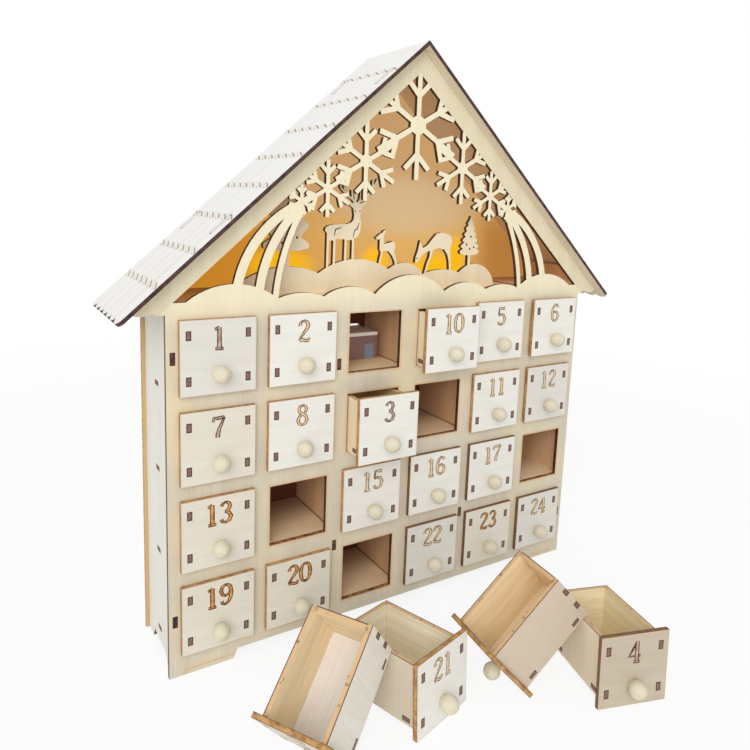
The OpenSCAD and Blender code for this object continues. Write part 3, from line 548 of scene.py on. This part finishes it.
def innerMaterial(name, axis, pale, mid, flat):
    # Inner ply, warmer than the outside, with a dark line in each corner of the cells, and painted shade on the
    # shelves, darker towards the rear.
    h, j = house, jointShade
    wood = dict(panelWood, pale=pale, mid=mid, dark=j["dark"], edgeLight=j["edgeLight"], edgeDark=j["edgeDark"])
    material, tree, shader = panelMaterial(name, axis, flat, 0, wood)
    coords = addNode(tree, "ShaderNodeTexCoord")
    x, y, z = split(tree, coords.outputs["Object"])
    facing = split(tree, coords.outputs["Normal"])[axis]
    fromRear = combine(tree, "SUBTRACT", (h["rearY"] - h["originY"]) * mm, y)
    # A shelf meets the dividers at every pitch across, and a divider meets the shelves at every pitch up.
    along, start = (x, 0.0) if axis == 2 else (z, h["baseHeight"])
    share = combine(tree, "DIVIDE", combine(tree, "SUBTRACT", along, start * mm), h["pitch"] * mm)
    beside = combine(tree, "MULTIPLY", away(tree, share, combine(tree, "ROUND", share)), h["pitch"] * mm)
    if axis == 2:
        beside = combine(tree, "SUBTRACT", beside, h["ply"] / 2 * mm)
    corner = combine(tree, "MINIMUM", beside, fromRear)
    line = ramp(tree, corner, 0, j["width"] * mm, j["strength"], 0)
    line = both(tree, line, step(tree, magnitude(tree, facing), 0.5))
    base = baseOf(shader)
    if axis == 2:
        # Painted shade: the shelves grow darker towards the rear of the cells.
        rearShade = ramp(tree, fromRear, j["rearShadeReach"][0] * mm, j["rearShadeReach"][1] * mm, j["rearShadeStrength"], 0)
        base = mixed(tree, rearShade, base, colour(j["rearShade"]))
    base = mixed(tree, line, base, colour(j["tone"]))
    repaint(tree, shader, base)
    return material


backdropGlow = {
    "top": "#CBA470", "middle": "#D6BC92", "left": "#D38F2A", "centre": "#DCAE62", "right": "#BC8340",
    "glow": "#FFC20E", "strength": 0.74, "unlit": 0.4, "haze": (32, 245, 62, 24), "hazeShare": 0.8,
    "leftBlend": (-90, -20), "rightBlend": (78, 104), "washRise": (222, 262),
    "shadedCellRear": "#7C3C20", "shadedCellRearMid": "#5C2A18", "rearStrip": "#CBAA7A", "wallIn": 136.0,
    "edgeLight": "#CBA06E", "edgeDark": "#94683F",
}
# Where the lamps shine through: centre and reach along x and z, in millimetres.
glowSpots = ((-61, 208, 26, 13), (5, 208, 13, 14), (54, 203, 28, 14), (71, 210, 9, 19))


def backdropMaterial():
    # The rear panel: plain ply outside, and behind the gable ply lit warm from below by the lamps.
    w, g = panelWood, backdropGlow
    # Where it faces into the cells, the rear panel is painted dark brown: the wood's own tone with painted shade of
    # the deep cells.
    rear = dict(w, insidePale=g["shadedCellRear"], insideMid=g["shadedCellRearMid"],
                edgeLight=g["edgeLight"], edgeDark=g["edgeDark"])
    material, tree, shader = panelMaterial("litBirchBack", 1, w["grain"], -1, rear)
    coords = addNode(tree, "ShaderNodeTexCoord")
    x, _, z = split(tree, coords.outputs["Object"])
    facing = split(tree, coords.outputs["Normal"])[1]
    isFront = step(tree, facing, -0.5, rising=False)
    outside = both(tree, isFront, step(tree, magnitude(tree, x), g["wallIn"] * mm))
    inner = mixed(tree, outside, baseOf(shader), colour(g["rearStrip"]))
    inGable = both(tree, isFront, step(tree, z, house["snowHeight"] * mm))
    blend = ramp(tree, x, g["leftBlend"][0] * mm, g["leftBlend"][1] * mm)
    low = mixed(tree, blend, colour(g["left"]), colour(g["centre"]))
    low = mixed(tree, ramp(tree, x, g["rightBlend"][0] * mm, g["rightBlend"][1] * mm), low, colour(g["right"]))
    wash = mixed(tree, ramp(tree, z, g["washRise"][0] * mm, g["washRise"][1] * mm), low, colour(g["top"]))

    def spot(centreX, centreZ, reachX, reachZ):
        offX = combine(tree, "DIVIDE", combine(tree, "SUBTRACT", x, centreX * mm), reachX * mm)
        offZ = combine(tree, "DIVIDE", combine(tree, "SUBTRACT", z, centreZ * mm), reachZ * mm)
        square = combine(tree, "ADD", both(tree, offX, offX), both(tree, offZ, offZ))
        return ramp(tree, square, 0.05, 1.1, 1, 0)

    # Painted lamp light: the wash, a paler haze and brighter spots, given as colour and again as emission.
    wash = mixed(tree, combine(tree, "MULTIPLY", spot(*g["haze"]), g["hazeShare"]), wash, colour(g["middle"]))
    glow = 0.0
    for place in glowSpots:
        glow = either(tree, glow, spot(*place))
    wash = mixed(tree, glow, wash, colour(g["glow"]))
    dim = mixed(tree, g["unlit"], (0, 0, 0, 1), wash)
    base = mixed(tree, inGable, inner, dim)
    repaint(tree, shader, base)
    tree.links.new(mixed(tree, inGable, (0, 0, 0, 1), wash), shader.inputs["Emission Color"])
    shader.inputs["Emission Strength"].default_value = g["strength"]
    whiteTabEnds(tree, shader, x, z)
    return material


roofFinish = {
    "pale": "#F8F7F4", "mid": "#F1EFEA", "dark": "#E2DCD0", "line": "#8E7B66", "shine": "#F3E9D8",
    "under": "#EADDC8", "underMid": "#DDCDB4", "edgeLight": "#52322A", "edgeDark": "#261413", "slotTone": "#5E4C42",
    "shingleWidth": 9.393, "shingleDepth": 4.4, "firstRow": 22.6, "rowPitch": 24.2, "rows": 8, "lineWidth": 0.7,
    "slotMiddles": (30.5, 151.4), "slotLength": 13.0, "slotLine": 0.7,
    "underDark": "#C4B284", "underGrain": (30, 0.9, 30), "brushScale": (0.03, 1.1, 1.0), "downSlopeFrom": (60, 219),
}


def roofMaterial(name, side):
    # Ply with thin streaky white paint on top, and the rows of shingles drawn on it as burnt slanting scallops.
    material, tree, output = startMaterial(name)
    coords = addNode(tree, "ShaderNodeTexCoord")
    place = coords.outputs["Object"]
    x, y, _ = split(tree, place)
    nx, ny, nz = split(tree, coords.outputs["Normal"])
    r, h = roofFinish, house
    angle = math.radians(h["roofAngle"])
    slope = combine(tree, "DIVIDE", magnitude(tree, x), math.cos(angle) * mm)
    depth = combine(tree, "DIVIDE", y, mm)
    run = addNode(tree, "ShaderNodeCombineXYZ", (slope, depth, 0.0)).outputs[0]
    streaks = addNode(tree, "ShaderNodeMapping", {0: run, 3: r["brushScale"]}).outputs[0]
    fine = addNode(tree, "ShaderNodeTexNoise", {0: streaks, 2: 1.0, 3: 4.0, 4: 0.6}).outputs[0]
    slow = addNode(tree, "ShaderNodeTexNoise", {0: streaks, 2: 0.15, 3: 2.0}).outputs[0]
    paint = mixed(tree, ramp(tree, fine, 0.35, 0.72), colour(r["pale"]), colour(r["mid"]))
    # Darker in patches, and more of them further down the slope.
    downSlopePatches = both(tree, ramp(tree, slow, 0.4, 0.75), ramp(tree, slope, *r["downSlopeFrom"], 0.1, 0.55))
    paint = mixed(tree, downSlopePatches, paint, colour(r["dark"]))
    # Each shingle's lower edge: a slanting scorch from cusp to cusp, a fainter rounded one, and a pale lip.
    lobes = combine(tree, "DIVIDE", combine(tree, "ADD", depth, h["originY"] + h["roofFront"]), r["shingleWidth"])
    along = combine(tree, "FRACT", lobes)
    rows = combine(tree, "DIVIDE", combine(tree, "SUBTRACT", slope, r["firstRow"]), r["rowPitch"])
    within = combine(tree, "MULTIPLY", combine(tree, "FRACT", rows), r["rowPitch"])
    inRows = both(tree, step(tree, rows, 0), step(tree, rows, float(r["rows"]), rising=False))
    slant = combine(tree, "MULTIPLY", combine(tree, "SUBTRACT", 1.0, along), r["shingleDepth"])
    line = ramp(tree, away(tree, within, slant), r["lineWidth"] * 0.35, r["lineWidth"], 1, 0)
    line = both(tree, line, ramp(tree, away(tree, along, 0.45), 0.25, 0.5, 1, 0.15))
    arc = both(tree, along, combine(tree, "SUBTRACT", 1.0, along))
    hollow = combine(tree, "MULTIPLY", arc, 4 * r["shingleDepth"])
    scallop = ramp(tree, away(tree, within, hollow), 0.15, 0.5, 0.45, 0)
    lip = both(tree, step(tree, within, r["shingleDepth"], rising=False), inRows)
    paint = mixed(tree, combine(tree, "MULTIPLY", lip, 0.35), paint, colour(r["shine"]))
    line = both(tree, either(tree, line, scallop), inRows)
    # A dark outline where the panels' tabs come through.
    fromTab = 1000.0
    for middle in r["slotMiddles"]:
        for rowY in (h["ply"] / 2, h["rearY"] + h["ply"] / 2):
            deepAlong = combine(tree, "SUBTRACT", away(tree, slope, middle), r["slotLength"] / 2)
            deepAcross = combine(tree, "SUBTRACT", away(tree, depth, rowY - h["originY"]), h["ply"] / 2)
            fromTab = combine(tree, "MINIMUM", fromTab, either(tree, deepAlong, deepAcross))
    paint = mixed(tree, combine(tree, "MULTIPLY", line, 0.9), paint, colour(r["line"]))
    paint = mixed(tree, ramp(tree, fromTab, r["slotLine"] * 0.6, r["slotLine"], 1, 0), paint, colour(r["slotTone"]))
    tones = [colour(r[key]) for key in ("under", "underMid", "underDark")]
    under, _ = veneer(tree, place, *tones, r["underGrain"])
    base = mixed(tree, step(tree, nz, 0.3), under, paint)
    # Cut edges look along y, or down the slope at the eave.
    downSlope = combine(tree, "ADD", both(tree, nx, side * math.cos(angle)), both(tree, nz, -math.sin(angle)))
    isEdge = either(tree, step(tree, magnitude(tree, ny), 0.5), step(tree, downSlope, 0.5))
    base = mixed(tree, isEdge, base, charred(tree, place, colour(r["edgeLight"]), colour(r["edgeDark"])))
    height = combine(tree, "SUBTRACT", combine(tree, "MULTIPLY", fine, 0.4), line)
    finishShader(tree, output, base, 0.7, height, 0.3, 0.0002)
    return material


# Lights in the gable and their battery box

def plasticMaterial(name, hexValue, roughness, speckle=0.06):
    # Moulded ABS with a fine spark texture, so it looks dull and slightly uneven.
    material, tree, output = startMaterial(name)
    coords = addNode(tree, "ShaderNodeTexCoord")
    spark = cloud(tree, coords.outputs["Object"], 0.55)
    darker = tuple(v * (1 - speckle * 3) for v in colour(hexValue)[:3]) + (1.0,)
    base = mixed(tree, spark, colour(hexValue), darker)
    shader = finishShader(tree, output, base, roughness, spark, 0.1, 0.0001)
    return material, tree, shader


boxFinish = {
    "body": "#92726A", "roughness": 0.42,
    "patch": "#8490A4", "patchMiddle": -11.5, "patchReach": (2.6, 3.4), "patchTop": (161.0, 162.2),
}


def boxMaterial():
    # Moulded grey ABS battery box, with a bluish patch low on its front.
    # What the patch is can't be told from the photograph.
    b = boxFinish
    material, tree, shader = plasticMaterial("greyAbs", b["body"], b["roughness"])
    coords = addNode(tree, "ShaderNodeTexCoord")
    x, _, z = split(tree, coords.outputs["Object"])
    fromPatch = away(tree, x, b["patchMiddle"] * mm)
    patch = both(tree, ramp(tree, fromPatch, b["patchReach"][0] * mm, b["patchReach"][1] * mm, 1, 0),
                 ramp(tree, z, b["patchTop"][0] * mm, b["patchTop"][1] * mm, 1, 0))
    facing = split(tree, coords.outputs["Normal"])[1]
    patch = both(tree, patch, step(tree, facing, -0.5, rising=False))
    base = mixed(tree, patch, baseOf(shader), colour(b["patch"]))
    repaint(tree, shader, base)
    return material


lampFinish = {
    "board": "#EDE8DA", "boardMid": "#DDD6C4", "boardTop": (1.5, 1.9),
    "dome": "#FFD27A", "glow": "#FFB840", "strength": 0.8,
}


def lampMaterial():
    # Warm lamps on a white strip: clear domes that glow amber, above a plain painted board.
    material, tree, output = startMaterial("amberLamps")
    coords = addNode(tree, "ShaderNodeTexCoord")
    z = split(tree, coords.outputs["Object"])[2]
    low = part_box("lamp_strip")[0][2]
    f = lampFinish
    isLamp = ramp(tree, z, low + f["boardTop"][0] * mm, low + f["boardTop"][1] * mm)
    spark = cloud(tree, coords.outputs["Object"], 1.1)
    board = mixed(tree, spark, colour(f["board"]), colour(f["boardMid"]))
    shader = finishShader(tree, output, mixed(tree, isLamp, board, colour(f["dome"])), 0.3)
    tree.links.new(mixed(tree, isLamp, (0, 0, 0, 1), colour(f["glow"])), shader.inputs["Emission Color"])
    shader.inputs["Emission Strength"].default_value = f["strength"]
    return material


def steelMaterial():
    # Stamped stainless steel can of a button cell, dulled a little by handling.
    material, tree, output = startMaterial("stainlessCell")
    coords = addNode(tree, "ShaderNodeTexCoord")
    spark = cloud(tree, coords.outputs["Object"], 1.4, 0.0, 3.0)
    rough = ramp(tree, spark, 0.3, 0.7, 0.25, 0.4)
    finishShader(tree, output, colour("#C9C9CC"), rough, spark, 0.05, 0.0001, Metallic=1.0)
    return material


def wear(name, material):
    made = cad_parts[name]
    made.data.materials.clear()
    made.data.materials.append(material)


faceGroup = makeFaceGroup()
trayGroup = makeTrayGroup()
for name in drawerNames:
    pale, mid = faceWood["tones"][toneOf(name)]
    # An edge that isn't charred all over takes one of five degrees of scorch.
    degree = ((int(name) * 7) % 5) / 4
    char = 1.0 if name in faceWood["charred"] else faceWood["charBase"] + faceWood["charSpread"] * degree
    faceColours = (colour(pale), colour(mid), (char, char, char, 1))
    wear(f"drawer_{name}_face", drawerMaterial(name, faceGroup, "birchFace", faceColours))
    tones = trayTones.get(name, trayTones["plain"])
    trayColours = [colour(tones[key]) for key in ("inside", "floor", "outside")]
    wear(f"drawer_{name}_tray", drawerMaterial(name, trayGroup, "birchTray", trayColours))
wallGrain, shelfGrain = (24, 0.9, 30), (30, 0.9, 24)
wear("front_panel", frontMaterial())
sceneWood = dict(panelWood, pale="#F3E6C6", mid="#E9D8B4")
wear("snow_scene_panel", panelMaterial("birchScene", 1, panelWood["grain"], 0, sceneWood, 0.35)[0])
wear("rear_panel", backdropMaterial())
wallWood = dict(panelWood, pale="#E9E8E0", mid="#DFDCD0", dark="#CFC2A2", insidePale="#E8C49C", insideMid="#D6AC82")
wear("left_wall", panelMaterial("birchLeftWall", 0, wallGrain, 1, wallWood)[0])
wear("right_wall", panelMaterial("birchRightWall", 0, wallGrain, -1, wallWood)[0])
wear("shelves", innerMaterial("birchShelves", 2, "#FFE4BC", "#F6D4A6", shelfGrain))
wear("cell_dividers", innerMaterial("birchDividers", 0, "#DDB78E", "#C89A6E", wallGrain))
wear("left_roof", roofMaterial("paintedRoofLeft", -1))
wear("right_roof", roofMaterial("paintedRoofRight", 1))
wear("battery_box", boxMaterial())
wear("battery_cover", plasticMaterial("whiteAbs", "#FAF7EE", 0.38, 0.01)[0])
wear("power_switch", plasticMaterial("blackAbs", "#26262A", 0.35)[0])
wear("lamp_strip", lampMaterial())
wear("button_cells", steelMaterial())
print("materials made")


# Numbers burnt into the drawer faces

numerals = {
    "height": 12.3, "advance": 7.4, "bodyWidth": 0.68, "weight": 0.8, "boldness": 0.1,
    "centreHeight": 28.6, "fillRise": 0.12, "lineRise": 0.04,
    "tones": {
        "ochre": {"outline": 0.52, "line": ("#8E5526", "#45220F"), "fill": ("#DDA862", "#B97C36")},
        "brown": {"outline": 0.46, "line": ("#6A4032", "#2E130C"), "fill": ("#CDB3A2", "#A98A78")},
        "pale": {"outline": 0.46, "line": ("#9A6E40", "#55331A"), "fill": ("#ECD9B6", "#DABD8C")},
    },
}
numberTones = {"ochre": ("13", "19", "20", "23"), "brown": ("01", "03", "04", "07")}

# Strokes of each numeral in shares of its height: x, height and half width.
numeralShares = {
    "0": [[(0.342, 0.95, 0.012), (0.201, 0.87, 0.036), (0.13, 0.7, 0.06), (0.106, 0.5, 0.066),
           (0.13, 0.3, 0.06), (0.201, 0.13, 0.036), (0.342, 0.05, 0.012), (0.484, 0.13, 0.036),
           (0.555, 0.3, 0.06), (0.578, 0.5, 0.066), (0.555, 0.7, 0.06), (0.484, 0.87, 0.036),
           (0.342, 0.95, 0.012)]],
    "1": [[(0.354, 0.92, 0.06), (0.354, 0.5, 0.066), (0.354, 0.08, 0.066)],
          [(0.354, 0.93, 0.024), (0.236, 0.86, 0.024), (0.162, 0.84, 0.03)],
          [(0.182, 0.045, 0.03), (0.526, 0.045, 0.03)]],
    "2": [[(0.153, 0.72, 0.06), (0.142, 0.8, 0.036), (0.212, 0.91, 0.018), (0.354, 0.95, 0.018),
           (0.484, 0.88, 0.048), (0.531, 0.74, 0.066), (0.472, 0.6, 0.054), (0.33, 0.42, 0.03),
           (0.189, 0.24, 0.018), (0.118, 0.1, 0.018)],
          [(0.118, 0.07, 0.024), (0.236, 0.13, 0.036), (0.401, 0.08, 0.048), (0.531, 0.07, 0.036),
           (0.578, 0.2, 0.018)]],
    "3": [[(0.153, 0.78, 0.048), (0.189, 0.88, 0.024), (0.33, 0.95, 0.018), (0.472, 0.88, 0.042),
           (0.507, 0.74, 0.06), (0.448, 0.6, 0.042), (0.295, 0.53, 0.012)],
          [(0.295, 0.53, 0.012), (0.472, 0.46, 0.042), (0.555, 0.3, 0.066), (0.496, 0.13, 0.048),
           (0.33, 0.05, 0.018), (0.177, 0.1, 0.024), (0.142, 0.22, 0.048)]],
    "4": [[(0.425, 0.93, 0.018), (0.236, 0.6, 0.012), (0.071, 0.3, 0.018), (0.614, 0.3, 0.018)],
          [(0.437, 0.93, 0.06), (0.437, 0.5, 0.066), (0.437, 0.08, 0.066)],
          [(0.283, 0.045, 0.024), (0.59, 0.045, 0.024)]],
    "5": [[(0.543, 0.91, 0.048), (0.354, 0.9, 0.042), (0.177, 0.92, 0.018), (0.153, 0.72, 0.012),
           (0.142, 0.54, 0.012)],
          [(0.142, 0.54, 0.012), (0.295, 0.6, 0.018), (0.472, 0.54, 0.048), (0.555, 0.34, 0.066),
           (0.484, 0.14, 0.048), (0.319, 0.05, 0.018), (0.165, 0.1, 0.024), (0.13, 0.22, 0.048)]],
    "6": [[(0.519, 0.78, 0.042), (0.484, 0.9, 0.024), (0.354, 0.95, 0.018), (0.212, 0.85, 0.036),
           (0.13, 0.66, 0.054), (0.106, 0.42, 0.066), (0.142, 0.2, 0.054), (0.236, 0.08, 0.03),
           (0.354, 0.05, 0.018), (0.496, 0.13, 0.042), (0.555, 0.3, 0.06), (0.496, 0.48, 0.042),
           (0.354, 0.56, 0.018), (0.212, 0.5, 0.018), (0.142, 0.38, 0.018)]],
    "7": [[(0.094, 0.74, 0.018), (0.118, 0.9, 0.036), (0.33, 0.89, 0.048), (0.566, 0.93, 0.018)],
          [(0.566, 0.93, 0.012), (0.472, 0.7, 0.024), (0.354, 0.45, 0.048), (0.295, 0.25, 0.066),
           (0.283, 0.07, 0.072)]],
    "8": [[(0.342, 0.95, 0.012), (0.201, 0.88, 0.036), (0.165, 0.74, 0.048), (0.224, 0.61, 0.036),
           (0.354, 0.53, 0.024), (0.496, 0.44, 0.036), (0.555, 0.27, 0.054), (0.484, 0.11, 0.036),
           (0.342, 0.05, 0.012), (0.189, 0.11, 0.036), (0.118, 0.27, 0.054), (0.189, 0.44, 0.036),
           (0.354, 0.54, 0.024), (0.472, 0.62, 0.03), (0.519, 0.75, 0.042), (0.472, 0.88, 0.03),
           (0.342, 0.95, 0.012)]],
}
numeralShares["9"] = [[(numerals["bodyWidth"] - x, 1 - z, r) for x, z, r in numeralShares["6"][0]]]


def scorchMaterial(name, light, dark):
    # Birch scorched by a laser: matt brown, darker in small patches.
    material, tree, output = startMaterial(name)
    coords = addNode(tree, "ShaderNodeTexCoord")
    burn = cloud(tree, coords.outputs["Object"], 1.9, 0.0, 3.0)
    base = mixed(tree, ramp(tree, burn, 0.38, 0.62), colour(light), colour(dark))
    finishShader(tree, output, base, 0.8, burn, 0.2, 0.0001)
    return material


def deselect():
    for made in bpy.context.selected_objects:
        made.select_set(False)


def beadMesh(strokes, rise, material):
    # Strokes as slim beads, flattened so that they stand only a hair proud.
    # A stroke is a row of points, each with its x, z and half width.
    curve = bpy.data.curves.new("beadCurve", "CURVE")
    curve.dimensions = "3D"
    curve.bevel_depth = 1.0
    curve.bevel_resolution = 2
    curve.use_fill_caps = True
    for stroke in strokes:
        spline = curve.splines.new("POLY")
        spline.points.add(len(stroke) - 1)
        for point, (x, z, radius) in zip(spline.points, stroke):
            point.co = (x, 0, z, 1)
            point.radius = radius
    made = bpy.data.objects.new("bead", curve)
    bpy.context.collection.objects.link(made)
    deselect()
    made.select_set(True)
    bpy.context.view_layer.objects.active = made
    bpy.ops.object.convert(target="MESH")
    made = bpy.context.view_layer.objects.active
    made.data.transform(Matrix.Diagonal((1, rise, 1, 1)))
    made.data.materials.append(material)
    return made


numeralMaterials = {}
for tone, spec in numerals["tones"].items():
    lineFinish = scorchMaterial(f"{tone}Line", *spec["line"])
    numeralMaterials[tone] = (lineFinish, scorchMaterial(f"{tone}Fill", *spec["fill"]))


def addNumber(name):
    n = numerals
    tone = next((t for t, names in numberTones.items() if name in names), "pale")
    text = str(int(name))
    width = (len(text) - 1) * n["advance"] + n["bodyWidth"] * n["height"]
    fills, lines = [], []
    for index, figure in enumerate(text):
        start = index * n["advance"] - width / 2
        for shares in numeralShares[figure]:
            points = [(start + x * n["height"], (z - 0.5) * n["height"],
                       r * n["height"] * n["weight"] + n["boldness"]) for x, z, r in shares]
            fills.append(points)
            lines.append([(x, z, r + n["tones"][tone]["outline"]) for x, z, r in points])
    lineMaterial, fillMaterial = numeralMaterials[tone]
    line = beadMesh(lines, n["lineRise"], lineMaterial)
    fill = beadMesh(fills, n["fillRise"], fillMaterial)
    deselect()
    fill.select_set(True)
    line.select_set(True)
    bpy.context.view_layer.objects.active = line
    bpy.ops.object.join()
    line.name = f"number_{name}"
    place = drawerMatrix(name) @ Matrix.Translation((0, 0, n["centreHeight"]))
    line.data.transform(Matrix.Scale(mm, 4) @ place)
    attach(line, f"drawer_{name}")


for name in drawerNames:
    addNumber(name)
print("numbers made")


# Lines burnt into the deer, in millimetres: x, height and half width.
deerLines = {
    "rise": 0.1, "tone": ("#5A3A26", "#2E1812"),
    "strokes": (
        ((-39.5, 232.5, 0.25), (-43, 231.5, 0.4), (-43.8, 228, 0.25)),
        ((-28, 235.3, 0.25), (-29.3, 232, 0.4), (-31, 230.8, 0.35), (-31.6, 227, 0.2)),
        ((-31.1, 241.8, 0.5), (-30.5, 241.8, 0.5)),
        ((-28.1, 241.8, 0.5), (-27.5, 241.8, 0.5)),
        ((-11, 223.5, 0.25), (-5.5, 224.8, 0.25)),
        ((12.7, 214.8, 0.4), (13.3, 214.8, 0.4)),
    ),
}
engraving = beadMesh(deerLines["strokes"], deerLines["rise"], scorchMaterial("engravedDeer", *deerLines["tone"]))
engraving.name = "deer_lines"
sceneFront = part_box("snow_scene_panel")[0][1]
engraving.data.transform(Matrix.Translation((0, sceneFront, 0)) @ Matrix.Scale(mm, 4))
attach(engraving, "house")
print("deer engraved")


# Floor, light and camera

floorPaper = {
    "size": 8, "drop": -0.0002, "pale": "#FFFFFF", "mid": "#FBFBFB", "fibre": 60.0,
    "reach": (0.3, 0.95), "nearShare": 0.87,
}


def floorMaterial():
    # Seamless white paper, which keeps a faint shadow.
    material, tree, output = startMaterial("whitePaper")
    coords = addNode(tree, "ShaderNodeTexCoord")
    fibre = addNode(tree, "ShaderNodeTexNoise", {0: coords.outputs["Object"], 2: floorPaper["fibre"], 3: 2.0})
    paper = mixed(tree, fibre.outputs[0], colour(floorPaper["pale"]), colour(floorPaper["mid"]))
    diffuse = addNode(tree, "ShaderNodeBsdfDiffuse", (paper,))
    glow = addNode(tree, "ShaderNodeEmission", ((1, 1, 1, 1), 1.0))
    # Full white far off, and a little of the object's shadow near it.
    reach = addNode(tree, "ShaderNodeVectorMath", (coords.outputs["Object"],), operation="LENGTH").outputs["Value"]
    share = both(tree, seenDirectly(tree), ramp(tree, reach, *floorPaper["reach"], floorPaper["nearShare"], 1))
    blended = addNode(tree, "ShaderNodeMixShader", (share, diffuse.outputs[0], glow.outputs[0]))
    tree.links.new(blended.outputs[0], output.inputs[0])
    return material


def seenDirectly(tree):
    rays = addNode(tree, "ShaderNodeLightPath")
    seen = either(tree, rays.outputs["Is Camera Ray"], rays.outputs["Is Glossy Ray"])
    return either(tree, seen, rays.outputs["Is Transmission Ray"])


deselect()
bpy.ops.mesh.primitive_plane_add(size=floorPaper["size"], location=(0, 0, floorPaper["drop"]))
floor = bpy.context.active_object
floor.name = "paperFloor"
floor.data.materials.append(floorMaterial())

studio = {
    "skyStrength": 0.6, "keyPower": 40.0, "keySize": 2.0,
    "keyPlace": (-1.55, -1.95, 1.4), "keyAim": (0, 0, 0.15),
}

world = bpy.data.worlds.new("softStudio")
bpy.context.scene.world = world
world.use_nodes = True
worldTree = world.node_tree
worldTree.nodes.clear()
strength = ramp(worldTree, seenDirectly(worldTree), 0, 1, studio["skyStrength"], 1.0)
sky = addNode(worldTree, "ShaderNodeBackground", ((1, 1, 1, 1), strength))
addNode(worldTree, "ShaderNodeOutputWorld", (sky.outputs[0],))

bpy.ops.object.light_add(type="AREA", location=studio["keyPlace"])
key = bpy.context.active_object
key.data.energy = studio["keyPower"]
key.data.size = studio["keySize"]
aim = Vector(studio["keyAim"]) - Vector(studio["keyPlace"])
key.rotation_euler = aim.to_track_quat("-Z", "Y").to_euler()

forward = Vector(cameraPlace["forward"]).normalized()
right = forward.cross(Vector(cameraPlace["up"])).normalized()
up = right.cross(forward).normalized()
turn = Matrix((right, up, -forward)).transposed()
bpy.ops.object.camera_add(location=[v * mm for v in cameraPlace["eye"]], rotation=turn.to_euler())
camera = bpy.context.active_object
camera.data.lens = cameraPlace["lens"]
camera.data.sensor_width = cameraPlace["sensor"]
camera.data.shift_x = cameraPlace["shiftX"]
camera.data.shift_y = cameraPlace["shiftY"]
camera.data.clip_start = 0.01
bpy.context.scene.camera = camera
bpy.context.scene.view_settings.view_transform = "Standard"
print("studio set")
